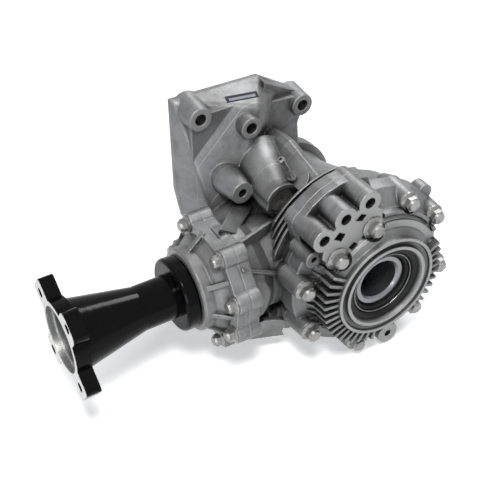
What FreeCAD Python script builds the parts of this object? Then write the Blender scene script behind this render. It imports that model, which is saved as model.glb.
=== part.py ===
import FreeCAD, Part
import math
import os
from FreeCAD import Vector

# Power transfer unit of a transverse all-wheel-drive gearbox, in millimetres.
# +X is the axis of the ring gear and the drive shaft, outboard through the large oil seal.
# -Y is the axis of the drive pinion, towards the companion flange. +Z is up.
# The origin is where the two axes cross. "Reach" is a distance from it along -Y.

# ---- running clearances and small standard sizes -------------------------------------
RUNNING_GAP = 0.3        # between curved faces that turn past each other
SEAT_GAP = 0.02          # radial room of a piece pushed into its seat
BOLT_HOLE_GAP = 0.5      # radial room of a bolt in its clearance hole

# ---- bevel gear set ------------------------------------------------------------------
RING_TEETH = 42
PINION_TEETH = 17
TOOTH_MODULE = 3.2       # at the large end of the teeth
FACE_WIDTH = 20.0
PRESSURE_ANGLE = 20.0
ADDENDUM_SHARE = 0.75
DEDENDUM_SHARE = 1.0
BACKLASH = 0.35          # at the pitch circle of the large end
RING_GEAR_BACK_X = 46.0
RING_GEAR_BORE_R = 42.0
RING_GEAR_OUTER_R = 69.0

# ---- ring gear shaft -----------------------------------------------------------------
SHAFT_BORE_R = 21.5
SHAFT_JOURNAL_R = 30.0
SHAFT_INNER_END_X = -98.0
SHAFT_OUTER_END_X = 90.0
SHAFT_FLANGE_T = 10.0
SHAFT_FLANGE_R = 61.0
RING_BOLT_COUNT = 10
RING_BOLT_CIRCLE_R = 52.0
RING_BOLT_R = 4.0
RING_BOLT_HEAD_R = 6.5
RING_BOLT_HEAD_T = 5.0
SPLINE_COUNT = 24
SPLINE_DEPTH = 2.0
SPLINE_LENGTH = 22.0

# ---- bearings: bore, cup radius, width -----------------------------------------------
SIDE_CUP_R = 48.0
SIDE_WIDTH = 18.0
COVER_BEARING_X = 65.0
CASE_BEARING_X = -60.0
HEAD_BORE_R = 19.0
HEAD_CUP_R = 37.0
HEAD_WIDTH = 22.0
TAIL_BORE_R = 16.0
TAIL_CUP_R = 34.0
TAIL_WIDTH = 18.0
ROLLER_COUNT = 14
ROLLER_TILT = 13.0
RACE_WALL = 3.2
ROLLER_SEAT = 0.06       # rollers stand this far off the cone raceway
CUP_SHARE = 0.86         # cup width over bearing width

# ---- drive pinion --------------------------------------------------------------------
PINION_HEAD_BACK_REACH = 72.0
SPACER_LENGTH = 22.0
SPACER_WALL = 2.2
STEM_END_REACH = 219.0
THREAD_R = 11.0
NUT_ACROSS_FLATS = 30.0
NUT_T = 11.0
WASHER_T = 2.5
PINION_SHIM_T = 1.2

# ---- companion flange ----------------------------------------------------------------
FLANGE_FACE_REACH = 307.7
FLANGE_T = 15.3
FLANGE_HUB_R = 27.0
TUBE_R = 23.0
TUBE_CONE_START_REACH = 226.0
TUBE_CONE_END_R = 36.0
TUBE_BORE_R = 18.6
PILOT_R = 34.5
PILOT_DEPTH = 7.0
PILOT_STEP_DEPTH = 21.7
THROAT_DEPTH = 45.7
FLANGE_WAIST_R = 40.0
FLANGE_HOLE_R = 5.2
FLANGE_HOLE_CIRCLE_R = 49.0
FLANGE_LONG_EAR_R = 61.0
FLANGE_SHORT_EAR_R = 55.5
FLANGE_LONG_EAR_W = 29.0
FLANGE_SHORT_EAR_W = 32.0
FLANGE_EAR_ANGLE = 142.0
NUT_SEAT_REACH = 203.0

# ---- dust shield ---------------------------------------------------------------------
SHIELD_R = 38.5
SHIELD_FACE_REACH = 190.0
SHIELD_SKIRT_REACH = 176.5
SHIELD_WALL = 2.0

# ---- adapter case --------------------------------------------------------------------
ADAPTER_SEAM_REACH = 137.0
ADAPTER_FLANGE_T = 13.0
ADAPTER_FLANGE_R = 62.0
ADAPTER_NECK_R = 42.0
ADAPTER_END_REACH = 174.0
ADAPTER_SPIGOT_R = 46.0
ADAPTER_SPIGOT_REACH = 112.0
ADAPTER_BOLT_CIRCLE_R = 62.0
ADAPTER_BOLT_ANGLES = (122.0, 181.0, 57.0, 14.0, 335.0, 298.0, 240.0)
ADAPTER_LOBE_R = 10.5
MATING_FLANGE_T = 12.0   # flange of the main case under the adapter flange
PINION_SEAL_R = 36.0
PINION_SEAL_REACH = 160.0
PINION_SEAL_T = 11.0

# ---- bolts ---------------------------------------------------------------------------
ADAPTER_THREAD = 12.0    # length of thread in the main case
ADAPTER_BOLT_R = 4.0
ADAPTER_BOLT_FLATS = 12.0
COVER_BOLT_R = 5.0
COVER_BOLT_FLATS = 14.0
COVER_THREAD = 12.0      # length of thread in the main case
COVER_BOLT_ANGLES = (168.0, 208.0, 258.0, 310.0, 346.0, 34.0, 65.0)
COVER_BOLT_CIRCLE_R = 86.0
COVER_BOLT_SEAT_X = 79.0
COVER_LOBE_R = 11.5
PLATEAU_BOLT_ANGLES = (136.5, 99.5)
PLATEAU_BOLT_CIRCLE_R = 71.5

# ---- transfer cover ------------------------------------------------------------------
PARTING_X = 50.0
COVER_FLANGE_T = 17.0
COVER_FLANGE_R = 89.0
COVER_DRUM_R = 66.0
COVER_RIM_X = 102.6
COVER_RIM_R = 57.0
GROOVE_OUTER_R = 53.7
GROOVE_INNER_R = 47.5
SEAL_FACE_X = 98.2
SEAL_R = 42.5
COVER_SEAL_T = 12.0
PLATEAU_X = 87.0
BOSS_HOLE_ANGLES = (131.5, 115.5, 99.5)
BOSS_CIRCLE_R = 102.0
BOSS_R = 12.5
BOSS_HOLE_R = 5.8
FIN_T = 3.0
FIN_TIP_R = 73.0
FIN_STEP_ANGLE = 7.5

# ---- main case -----------------------------------------------------------------------
MOUNT_FACE_X = -105.0
MOUNT_FLANGE_T = 14.0
EAR_FACE_X = -75.0
NECK_R = 82.0            # shoulder beside the pinion
NECK_END_R = 54.0        # around the inboard bearing
NECK_END_X = -70.0
NECK_START_X = 8.0
SHOULDER_Y = -20.0       # the shoulder ends in a wall here
BELL_R = 88.0
CASE_RIM_R = 98.0
CASE_RIM_T = 6.0
GEAR_CAVITY_R = 74.0
PINION_BARREL_R = 57.0
CASE_FIN_T = 2.6
MOUNT_HOLE_R = 6.2
SPIGOT_R = 46.5
INPUT_SEAL_R = 44.0
CASE_FIN_COUNT = 4
CASE_FIN_X = 11.0
CASE_FIN_STEP = 8.0
BREATHER_X = -8.0
BREATHER_ANGLE = 117.0
BREATHER_PAD_R = 17.0
STAY_Y = -87.4
STAY_Z = 67.8
STAY_FACE_X = -29.9
STAY_HOLE_R = 4.6
BOSS_RIM_CLEAR_R = 122.0
PLATEAU_POCKETS = (      # cast pockets in the face between the bosses, (y, z) corners
    ((-57.0, 74.0), (-51.0, 80.0), (-43.5, 75.0), (-48.0, 68.0)),
    ((-33.0, 86.0), (-27.0, 92.0), (-20.0, 88.5), (-24.5, 83.0)),
    ((-39.0, 57.0), (-33.0, 61.0), (-29.0, 57.0), (-35.0, 52.0)),
)
BOSS_RIM = (             # angle and how far the rim stands outside the boss circle
    (86.0, -12.0), (90.0, 6.0), (99.0, 11.5), (107.0, 14.0), (115.0, 15.0),
    (123.0, 14.0), (131.0, 11.0), (139.0, 1.0), (147.0, -14.0))
INPUT_SEAL_T = 10.0
FILLER_R = 15.0
FILLER_FACE_X = 0.0
FILLER_Y = -58.0
FILLER_Z = 65.0
DRAIN_FACE_X = 22.0
DRAIN_Y = -72.0
DRAIN_Z = -66.0
DRAIN_R = 9.0


# ======================================================================================
# small builders
# ======================================================================================
def cyl_x(x0, x1, radius, y=0.0, z=0.0):
    """Cylinder along X from x0 to x1."""
    return Part.makeCylinder(radius, x1 - x0, Vector(x0, y, z), Vector(1, 0, 0))


def cyl_out(reach0, reach1, radius, x=0.0, z=0.0):
    """Cylinder along -Y from reach0 to reach1."""
    return Part.makeCylinder(radius, reach1 - reach0, Vector(x, -reach0, z), Vector(0, -1, 0))


def tube_x(x0, x1, outer, inner, y=0.0, z=0.0):
    """Plain ring along X."""
    return cyl_x(x0, x1, outer, y, z).cut(cyl_x(x0 - 1, x1 + 1, inner, y, z))


def tube_out(reach0, reach1, outer, inner, x=0.0, z=0.0):
    """Plain ring along -Y."""
    return cyl_out(reach0, reach1, outer, x, z).cut(cyl_out(reach0 - 1, reach1 + 1, inner, x, z))


def turned_x(profile):
    """Solid turned about X from (x, radius) corners."""
    points = [Vector(x, 0, r) for x, r in profile]
    face = Part.Face(Part.makePolygon(points + [points[0]]))
    return face.revolve(Vector(0, 0, 0), Vector(1, 0, 0), 360)


def turned_out(profile):
    """Solid turned about Y from (reach, radius) corners."""
    points = [Vector(r, -reach, 0) for reach, r in profile]
    face = Part.Face(Part.makePolygon(points + [points[0]]))
    return face.revolve(Vector(0, 0, 0), Vector(0, 1, 0), 360)


def prism_x(corners, x0, x1):
    """Prism along X over (y, z) corners."""
    points = [Vector(x0, y, z) for y, z in corners]
    return Part.Face(Part.makePolygon(points + [points[0]])).extrude(Vector(x1 - x0, 0, 0))


def prism_out(corners, reach0, reach1):
    """Prism along -Y over (x, z) corners."""
    points = [Vector(x, -reach0, z) for x, z in corners]
    return Part.Face(Part.makePolygon(points + [points[0]])).extrude(Vector(0, reach0 - reach1, 0))


def web(corners, thickness):
    """Flat plate through its corners, dropped on to the plane of the first three, thickened evenly."""
    points = [Vector(*corner) for corner in corners]
    normal = (points[1] - points[0]).cross(points[2] - points[0]).normalize()
    flat = [point - normal * (point - points[0]).dot(normal) for point in points]
    moved = [point - normal * (thickness / 2) for point in flat]
    return Part.Face(Part.makePolygon(moved + [moved[0]])).extrude(normal * thickness)


def polar(angle, radius):
    """(y, z) or (x, z) pair at an angle in degrees and a radius."""
    return radius * math.cos(math.radians(angle)), radius * math.sin(math.radians(angle))


def joined(shapes):
    """One solid from overlapping shapes, with the needless edges removed."""
    return shapes[0].fuse(shapes[1:]).removeSplitter()


def group(shapes):
    """Separate solids kept in one node."""
    return Part.makeCompound(shapes)


def hexagon(flats):
    """Corners of a hexagon of a given width across flats."""
    corner_r = flats / math.sqrt(3.0)
    return [polar(60.0 * i, corner_r) for i in range(6)]


def flange_bolt(shank_r, flats, grip, thread, washer_r, washer_t):
    """Hexagon flange bolt along -X: seat plane at x = 0, head towards +X."""
    head_h = 0.62 * flats
    head = prism_x(hexagon(flats), washer_t, washer_t + head_h)
    dome = Part.makeCone(flats / 2 + 2.2, flats / 2 - 1.2, head_h,
                         Vector(washer_t, 0, 0), Vector(1, 0, 0))
    head = head.common(dome.fuse(cyl_x(washer_t, washer_t + head_h * 0.7, flats)))
    collar = turned_x([(0, 0), (0, washer_r), (washer_t * 0.6, washer_r),
                       (washer_t * 1.3, flats / 2 + 0.3), (washer_t * 1.3, 0)])
    shank = cyl_x(-grip - thread, 0.5, shank_r)
    return joined([collar, head, shank])


def placed(shape, position, turn_axis=None, turn=0.0):
    """Copy of a shape, turned about an axis through the origin and then moved."""
    copy = shape.copy()
    if turn_axis is not None:
        copy.rotate(Vector(0, 0, 0), turn_axis, turn)
    copy.translate(position)
    return copy


# ======================================================================================
# bevel gears
# ======================================================================================
PITCH_RADIUS_RING = TOOTH_MODULE * RING_TEETH / 2
PITCH_RADIUS_PINION = TOOTH_MODULE * PINION_TEETH / 2
CONE_DISTANCE = math.hypot(PITCH_RADIUS_RING, PITCH_RADIUS_PINION)


def tooth_half_angles(teeth, pitch_r, radii):
    """Half thickness angles of an involute tooth of the equivalent spur gear."""
    base_r = pitch_r * math.cos(math.radians(PRESSURE_ANGLE))

    def involute(radius):
        pressure = math.acos(min(1.0, base_r / radius))
        return math.tan(pressure) - pressure

    at_pitch = math.pi / (2 * teeth) - BACKLASH / (4 * pitch_r)
    return [at_pitch + involute(pitch_r) - involute(max(radius, base_r)) for radius in radii]


def gear_section(teeth, pitch_r, axial, tooth_centre):
    """Closed (u, v) outline of all teeth on the plane at a given axial distance.

    The teeth taper to the apex, so the outline is the equivalent spur gear of the
    large end, thrown from the apex on to that plane.
    """
    pitch_angle = math.atan2(pitch_r, math.sqrt(CONE_DISTANCE ** 2 - pitch_r ** 2))
    equivalent_r = pitch_r / math.cos(pitch_angle)
    equivalent_teeth = teeth / math.cos(pitch_angle)
    addendum = ADDENDUM_SHARE * TOOTH_MODULE
    dedendum = DEDENDUM_SHARE * TOOTH_MODULE
    radii = [equivalent_r - dedendum, equivalent_r - 0.3 * dedendum,
             equivalent_r + 0.4 * addendum, equivalent_r + addendum]
    half_angles = tooth_half_angles(equivalent_teeth, equivalent_r, radii)
    outline = []
    for index in range(teeth):
        centre = 2 * math.pi * (index / teeth) + tooth_centre
        flank = []
        for radius, half in zip(radii, half_angles):
            rise = radius - equivalent_r
            cone_r = pitch_r + rise * math.cos(pitch_angle)
            cone_axial = CONE_DISTANCE * math.cos(pitch_angle) - rise * math.sin(pitch_angle)
            turn = half * radius / cone_r
            flank.append((cone_r / cone_axial * axial, turn))
        outline += [(r * math.cos(centre - turn), r * math.sin(centre - turn)) for r, turn in flank]
        outline += [(r * math.cos(centre + turn), r * math.sin(centre + turn))
                    for r, turn in reversed(flank)]
    return outline


def toothed_cone(teeth, pitch_r, near, far, tooth_centre, to_point):
    """Ruled solid through the tooth outlines of two parallel planes."""
    wires = []
    for axial in (near, far):
        points = [to_point(axial, u, v) for u, v in gear_section(teeth, pitch_r, axial, tooth_centre)]
        wires.append(Part.makePolygon(points + [points[0]]))
    return Part.makeLoft(wires, True, True)


def ring_gear():
    """Bevel ring gear, bolted to the shaft flange, its teeth facing the crossing point."""
    inner_share = (CONE_DISTANCE - FACE_WIDTH) / CONE_DISTANCE
    axial = PITCH_RADIUS_PINION
    inner_r = PITCH_RADIUS_RING * inner_share
    teeth = toothed_cone(RING_TEETH, PITCH_RADIUS_RING, axial * 0.55, axial * 1.25, 0.0,
                         lambda a, u, v: Vector(a, u, v))
    tooth_zone = turned_x([(axial * 0.5, inner_r - 1), (axial * 0.5, RING_GEAR_OUTER_R),
                           (axial * 1.24, RING_GEAR_OUTER_R), (axial * 1.24, inner_r - 1)])
    root_lean = DEDENDUM_SHARE * TOOTH_MODULE / math.cos(math.atan2(PITCH_RADIUS_PINION, PITCH_RADIUS_RING))
    slope = PITCH_RADIUS_PINION / PITCH_RADIUS_RING
    body = turned_x([(inner_r * slope + root_lean * inner_share, inner_r),
                     (RING_GEAR_OUTER_R * slope + root_lean, RING_GEAR_OUTER_R),
                     (RING_GEAR_BACK_X - 2, RING_GEAR_OUTER_R),
                     (RING_GEAR_BACK_X, RING_GEAR_OUTER_R - 2),
                     (RING_GEAR_BACK_X, RING_GEAR_BORE_R),
                     (inner_r * slope + root_lean * inner_share + 3, RING_GEAR_BORE_R)])
    gear = body.fuse(teeth.common(tooth_zone))
    holes = [cyl_x(RING_GEAR_BACK_X - 14, RING_GEAR_BACK_X + 1, RING_BOLT_R + SEAT_GAP,
                   *polar(360.0 * i / RING_BOLT_COUNT, RING_BOLT_CIRCLE_R))
             for i in range(RING_BOLT_COUNT)]
    return gear.cut(group(holes))



def drive_pinion():
    """Pinion head with its stem, splined for the companion flange and threaded at the end."""
    inner_share = (CONE_DISTANCE - FACE_WIDTH) / CONE_DISTANCE
    axial = PITCH_RADIUS_RING
    slope = PITCH_RADIUS_PINION / PITCH_RADIUS_RING
    half_pitch = math.pi / PINION_TEETH
    teeth = toothed_cone(PINION_TEETH, PITCH_RADIUS_PINION, axial * inner_share, axial * 1.04,
                         half_pitch, lambda a, u, v: Vector(u, -a, v))
    lean = DEDENDUM_SHARE * TOOTH_MODULE
    start = axial * inner_share
    core = turned_out([(start, 0), (start, start * slope - lean * inner_share + 0.3),
                       (axial + 1, PITCH_RADIUS_PINION - lean), (PINION_HEAD_BACK_REACH, HEAD_BORE_R + 3),
                       (PINION_HEAD_BACK_REACH, 0)])
    stem = turned_out([(PINION_HEAD_BACK_REACH - 1, 0), (PINION_HEAD_BACK_REACH - 1, HEAD_BORE_R),
                       (PINION_HEAD_BACK_REACH + HEAD_WIDTH, HEAD_BORE_R),
                       (PINION_HEAD_BACK_REACH + HEAD_WIDTH, TAIL_BORE_R),
                       (HUB_START - 1, TAIL_BORE_R), (HUB_START, TAIL_BORE_R - 1),
                       (NUT_SEAT_REACH - 4, TAIL_BORE_R - 1), (NUT_SEAT_REACH - 4, THREAD_R),
                       (STEM_END_REACH - 1, THREAD_R), (STEM_END_REACH, THREAD_R - 1),
                       (STEM_END_REACH, 0)])
    return core.fuse([teeth, stem]).removeSplitter()


# ======================================================================================
# tapered roller bearings
# ======================================================================================
def bearing_profiles(bore_r, cup_r, width):
    """Corners of cone, cup and cage and the roller, along a local axis u with the large end at width."""
    tilt = math.radians(ROLLER_TILT)
    small_r = (cup_r - bore_r - 2 * RACE_WALL) * 0.27
    large_r = small_r * 1.25
    start_u = width * 0.16
    length = width * 0.62
    mid_r = bore_r + RACE_WALL + (large_r + small_r) / 2 + length * math.sin(tilt) / 2 + 0.4
    start = (start_u, mid_r - length * math.sin(tilt) / 2)
    end = (start_u + length * math.cos(tilt), mid_r + length * math.sin(tilt) / 2)

    def offset(point, distance):
        return point[0] - distance * math.sin(tilt), point[1] + distance * math.cos(tilt)

    inner_a, inner_b = offset(start, -small_r - ROLLER_SEAT), offset(end, -large_r - ROLLER_SEAT)
    outer_a = offset(start, small_r + RUNNING_GAP)
    outer_b = offset(end, large_r + RUNNING_GAP)
    slope = (outer_b[1] - outer_a[1]) / (outer_b[0] - outer_a[0])
    cup_start, cup_end = 0.0, width * CUP_SHARE
    cup = [(cup_start, cup_r), (cup_end, cup_r),
           (cup_end, outer_a[1] + slope * (cup_end - outer_a[0])),
           (cup_start, outer_a[1] + slope * (cup_start - outer_a[0]))]
    lip_u = inner_a[0] - 0.2
    rib_u = inner_b[0] + 0.2
    cone = [(lip_u - 1.6, bore_r), (lip_u - 1.6, inner_a[1] + 1.0), (lip_u, inner_a[1] + 1.0),
            inner_a, inner_b, (rib_u, inner_b[1] + 2.2), (width, inner_b[1] + 2.2), (width, bore_r)]
    cage_low, cage_high = 0.15 * small_r, 0.15 * small_r + 1.1
    lead = 1.3
    before = (start[0] - lead * math.cos(tilt), start[1] - lead * math.sin(tilt))
    after = (end[0] + lead * math.cos(tilt), end[1] + lead * math.sin(tilt))
    cage = [offset(before, cage_low), offset(after, cage_low),
            offset(after, cage_high), offset(before, cage_high)]
    return cone, cup, cage, start, length, small_r, large_r


def bearing(bore_r, cup_r, width, turned, to_world):
    """Cone, cup, rollers and cage of one bearing.

    turned makes a solid from (station, radius) corners; to_world maps a local u to a
    station and gives the direction of u as +1 or -1 in to_world.sign.
    """
    cone, cup, cage, start, length, small_r, large_r = bearing_profiles(bore_r, cup_r, width)
    tilt = math.radians(ROLLER_TILT)

    def solid(profile):
        return turned([(to_world(u), r) for u, r in profile])

    def roller(index, grow, reach):
        angle = 2 * math.pi * index / ROLLER_COUNT
        u0 = start[0] - reach * math.cos(tilt)
        r0 = start[1] - reach * math.sin(tilt)
        base = to_world.point(u0, r0 * math.cos(angle), r0 * math.sin(angle))
        u1 = u0 + math.cos(tilt)
        r1 = r0 + math.sin(tilt)
        tip = to_world.point(u1, r1 * math.cos(angle), r1 * math.sin(angle))
        return Part.makeCone(small_r + grow, large_r + grow, length + 2 * reach, base, tip - base)

    rollers = [roller(i, 0.0, 0.0) for i in range(ROLLER_COUNT)]
    windows = [roller(i, 0.2, 0.2) for i in range(ROLLER_COUNT)]
    return {"cone": solid(cone), "cup": solid(cup), "rollers": group(rollers),
            "cage": solid(cage).cut(group(windows))}


class Along:
    """Maps a bearing's local axis on to +X, -X or -Y."""

    def __init__(self, start, axis, sign):
        self.start, self.axis, self.sign = start, axis, sign

    def __call__(self, u):
        return self.start + self.sign * u

    def point(self, u, v, w):
        """World point of a local one."""
        station = self(u)
        if self.axis == "x":
            return Vector(station, v, w)
        return Vector(v, -station, w)



# ======================================================================================
# ring gear line
# ======================================================================================
SHAFT_FLANGE_X = RING_GEAR_BACK_X
SHAFT_BEARING_SHOULDER_R = SHAFT_JOURNAL_R + 6.0


def ring_gear_shaft():
    """Hollow shaft with the ring gear flange, two bearing journals and an inner spline."""
    shoulder = SHAFT_BEARING_SHOULDER_R
    body = turned_x([
        (SHAFT_INNER_END_X, SHAFT_BORE_R + 1), (SHAFT_INNER_END_X, SHAFT_JOURNAL_R - 1),
        (SHAFT_INNER_END_X + 1, SHAFT_JOURNAL_R), (CASE_BEARING_X, SHAFT_JOURNAL_R),
        (CASE_BEARING_X, SHAFT_JOURNAL_R - SEAT_GAP),
        (CASE_BEARING_X + SIDE_WIDTH, SHAFT_JOURNAL_R - SEAT_GAP),
        (CASE_BEARING_X + SIDE_WIDTH, shoulder), (CASE_BEARING_X + SIDE_WIDTH + 8, shoulder),
        (CASE_BEARING_X + SIDE_WIDTH + 12, SHAFT_JOURNAL_R + 2), (4, SHAFT_JOURNAL_R + 2),
        (RING_GEAR_BACK_X - 14, RING_GEAR_BORE_R - SEAT_GAP),
        (SHAFT_FLANGE_X, RING_GEAR_BORE_R - SEAT_GAP), (SHAFT_FLANGE_X, SHAFT_FLANGE_R),
        (SHAFT_FLANGE_X + SHAFT_FLANGE_T, SHAFT_FLANGE_R), (SHAFT_FLANGE_X + SHAFT_FLANGE_T, shoulder),
        (COVER_BEARING_X, shoulder), (COVER_BEARING_X, SHAFT_JOURNAL_R - SEAT_GAP),
        (COVER_BEARING_X + SIDE_WIDTH, SHAFT_JOURNAL_R - SEAT_GAP),
        (COVER_BEARING_X + SIDE_WIDTH, SHAFT_JOURNAL_R), (SHAFT_OUTER_END_X - 2, SHAFT_JOURNAL_R),
        (SHAFT_OUTER_END_X, SHAFT_JOURNAL_R - 2), (SHAFT_OUTER_END_X, SHAFT_BORE_R + 2),
        (SHAFT_OUTER_END_X - 2, SHAFT_BORE_R), (SHAFT_INNER_END_X + 1, SHAFT_BORE_R)])
    cuts = [cyl_x(SHAFT_FLANGE_X - 1, SHAFT_FLANGE_X + SHAFT_FLANGE_T + 1, RING_BOLT_R + SEAT_GAP,
                  *polar(360.0 * i / RING_BOLT_COUNT, RING_BOLT_CIRCLE_R))
            for i in range(RING_BOLT_COUNT)]
    groove = math.pi * SHAFT_JOURNAL_R / SPLINE_COUNT * 0.5
    for i in range(SPLINE_COUNT):
        slot = Part.makeBox(SPLINE_LENGTH, groove * 2, SPLINE_DEPTH * 2,
                            Vector(SHAFT_INNER_END_X - 1, -groove, SHAFT_JOURNAL_R - SPLINE_DEPTH))
        slot.rotate(Vector(0, 0, 0), Vector(1, 0, 0), 360.0 * i / SPLINE_COUNT)
        cuts.append(slot)
    return body.cut(group(cuts))


def ring_gear_bolts():
    """Hexagon bolts through the shaft flange into the back of the ring gear."""
    bolts = []
    seat_x = SHAFT_FLANGE_X + SHAFT_FLANGE_T
    for i in range(RING_BOLT_COUNT):
        y, z = polar(360.0 * i / RING_BOLT_COUNT, RING_BOLT_CIRCLE_R)
        head = prism_x(hexagon(RING_BOLT_HEAD_R * 2), seat_x, seat_x + RING_BOLT_HEAD_T)
        head.translate(Vector(0, y, z))
        shank = cyl_x(RING_GEAR_BACK_X - 12, seat_x + 1, RING_BOLT_R, y, z)
        bolts.append(joined([head, shank]))
    return group(bolts)


def lip_seal_x(face_x, depth, outer_r, shaft_r):
    """Oil seal around the ring gear shaft: outer band, web and a lip towards the oil side."""
    lip_r = shaft_r + RUNNING_GAP
    back = face_x - depth
    return turned_x([(face_x, outer_r), (face_x, outer_r - 4), (face_x - 2, outer_r - 6),
                     (face_x - 5, outer_r - 7), (face_x - 4, lip_r + 1.5), (face_x - 5.5, lip_r),
                     (back + 2, lip_r), (back, lip_r + 3), (back + 1, outer_r - 6),
                     (back, outer_r - 3), (back, outer_r)])


def cover_bearing():
    """Bearing at the outboard end of the ring gear shaft."""
    return bearing(SHAFT_JOURNAL_R, SIDE_CUP_R, SIDE_WIDTH, turned_x,
                   Along(COVER_BEARING_X + SIDE_WIDTH, "x", -1))


def case_bearing():
    """Bearing at the inboard end of the ring gear shaft."""
    return bearing(SHAFT_JOURNAL_R, SIDE_CUP_R, SIDE_WIDTH, turned_x, Along(CASE_BEARING_X, "x", 1))


# ======================================================================================
# pinion line
# ======================================================================================
SPACER_START = PINION_HEAD_BACK_REACH + HEAD_WIDTH
TAIL_START = SPACER_START + SPACER_LENGTH
HUB_START = TAIL_START + TAIL_WIDTH
CUP_SHOULDER = 4.0       # radial depth of the steps that the pinion bearing cups lean on


def head_bearing():
    """Large pinion bearing, next to the teeth."""
    return bearing(HEAD_BORE_R, HEAD_CUP_R, HEAD_WIDTH, turned_out, Along(SPACER_START, "y", -1))


def tail_bearing():
    """Small pinion bearing, in the spigot of the adapter case."""
    return bearing(TAIL_BORE_R, TAIL_CUP_R, TAIL_WIDTH, turned_out, Along(TAIL_START, "y", 1))


def collapsible_spacer():
    """Thin sleeve with a bulge, crushed when the pinion nut is drawn up."""
    inner = HEAD_BORE_R + 0.5
    outer = inner + SPACER_WALL
    a, b = SPACER_START, TAIL_START
    mid = (a + b) / 2
    return turned_out([(a, inner), (a, outer), (mid - 6, outer), (mid - 2, outer + 3), (mid + 2, outer + 3),
                       (mid + 6, outer), (b, outer), (b, inner), (mid + 5, inner), (mid + 1.5, inner + 2.5),
                       (mid - 1.5, inner + 2.5), (mid - 5, inner)])


def flange_ear(angle, tip_r, width, corner_r):
    """One ear of the companion flange, with rounded tip corners."""
    half = width / 2
    plate = Part.makeBox(tip_r, width, FLANGE_T, Vector(0, -half, 0))
    tips = [edge for edge in plate.Edges
            if abs(edge.BoundBox.XMin - tip_r) < 0.01 and edge.BoundBox.ZLength > FLANGE_T - 1]
    plate = plate.makeFillet(corner_r, tips)
    plate.rotate(Vector(0, 0, 0), Vector(1, 0, 0), 90)
    plate.translate(Vector(0, -(FLANGE_FACE_REACH - FLANGE_T), 0))
    plate.rotate(Vector(0, 0, 0), Vector(0, 1, 0), -angle)
    return plate


def companion_flange():
    """Long-necked flange: splined hub, waisted tube, cone and four-eared bolting face."""
    back = FLANGE_FACE_REACH - FLANGE_T
    body = turned_out([
        (HUB_START, 0), (HUB_START, FLANGE_HUB_R - 1), (HUB_START + 1, FLANGE_HUB_R),
        (SHIELD_FACE_REACH, FLANGE_HUB_R), (SHIELD_FACE_REACH, TUBE_R),
        (TUBE_CONE_START_REACH, TUBE_R), (back, TUBE_CONE_END_R), (back, FLANGE_WAIST_R),
        (FLANGE_FACE_REACH - 0.8, FLANGE_WAIST_R), (FLANGE_FACE_REACH, FLANGE_WAIST_R - 0.8),
        (FLANGE_FACE_REACH, 0)])
    ears = []
    for quarter in range(4):
        long_ear = quarter % 2 == 0
        ears.append(flange_ear(FLANGE_EAR_ANGLE + 90 * quarter,
                               FLANGE_LONG_EAR_R if long_ear else FLANGE_SHORT_EAR_R,
                               FLANGE_LONG_EAR_W if long_ear else FLANGE_SHORT_EAR_W,
                               6.0 if long_ear else 8.0))
    throat = turned_out([(NUT_SEAT_REACH - 0.01, 0), (NUT_SEAT_REACH - 0.01, TUBE_BORE_R), (FLANGE_FACE_REACH - THROAT_DEPTH, TUBE_BORE_R),
                         (FLANGE_FACE_REACH - PILOT_STEP_DEPTH, PILOT_R - 9),
                         (FLANGE_FACE_REACH - PILOT_STEP_DEPTH, PILOT_R - 3.5), (FLANGE_FACE_REACH - PILOT_DEPTH, PILOT_R - 3.5),
                         (FLANGE_FACE_REACH - PILOT_DEPTH, PILOT_R), (FLANGE_FACE_REACH + 1, PILOT_R),
                         (FLANGE_FACE_REACH + 1, 0)])
    hub_bore = cyl_out(HUB_START - 1, NUT_SEAT_REACH + 1, TAIL_BORE_R - 1 + SEAT_GAP)
    hub_mouth = cyl_out(HUB_START - 1, HUB_START + 0.01, TAIL_BORE_R + SEAT_GAP)
    full = joined([body] + ears)
    holes = [cyl_out(back - 1, FLANGE_FACE_REACH + 1, FLANGE_HOLE_R,
                     *polar(FLANGE_EAR_ANGLE + 90 * q, FLANGE_HOLE_CIRCLE_R)) for q in range(4)]
    return full.cut([throat, hub_bore, hub_mouth] + holes)


def dust_shield():
    """Pressed cup on the hub of the companion flange."""
    r, w = SHIELD_R, SHIELD_WALL
    face, skirt = SHIELD_FACE_REACH, SHIELD_SKIRT_REACH
    hub = FLANGE_HUB_R + SEAT_GAP
    return turned_out([(face, hub), (face, r - 3), (face - 1, r - 1), (face - 3, r), (skirt, r),
                       (skirt, r - w), (face - w - 1, r - w), (face - w, r - w - 1), (face - w, hub + w),
                       (skirt + 4, hub + w), (skirt + 4, hub)])


def pinion_washer():
    """Hardened washer under the pinion nut."""
    return tube_out(NUT_SEAT_REACH, NUT_SEAT_REACH + WASHER_T, NUT_ACROSS_FLATS / 2 + 1.5, THREAD_R + SEAT_GAP)


def pinion_nut():
    """Hexagon nut with a staking collar on the end of the pinion stem."""
    start = NUT_SEAT_REACH + WASHER_T
    nut = prism_out(hexagon(NUT_ACROSS_FLATS), start, start + NUT_T)
    collar = cyl_out(start, start + NUT_T + 2.0, THREAD_R + 2.6)
    return joined([nut, collar]).cut(cyl_out(start - 1, start + NUT_T + 4, THREAD_R + SEAT_GAP))


def pinion_shim():
    """Ring between head bearing cup and case that sets how deep the pinion meshes."""
    return tube_out(SPACER_START, SPACER_START + PINION_SHIM_T, HEAD_CUP_R, HEAD_CUP_R - CUP_SHOULDER)


def pinion_oil_seal():
    """Seal between the adapter case and the companion flange hub."""
    a = PINION_SEAL_REACH
    b = a + PINION_SEAL_T
    lip = FLANGE_HUB_R + RUNNING_GAP
    return turned_out([(a, PINION_SEAL_R), (b, PINION_SEAL_R), (b, PINION_SEAL_R - 3), (b - 3, PINION_SEAL_R - 4),
                       (b - 3, lip + 1.5), (b - 1.5, lip), (a + 2, lip), (a, lip + 2.5), (a + 1.5, PINION_SEAL_R - 4),
                       (a, PINION_SEAL_R - 3)])


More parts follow.
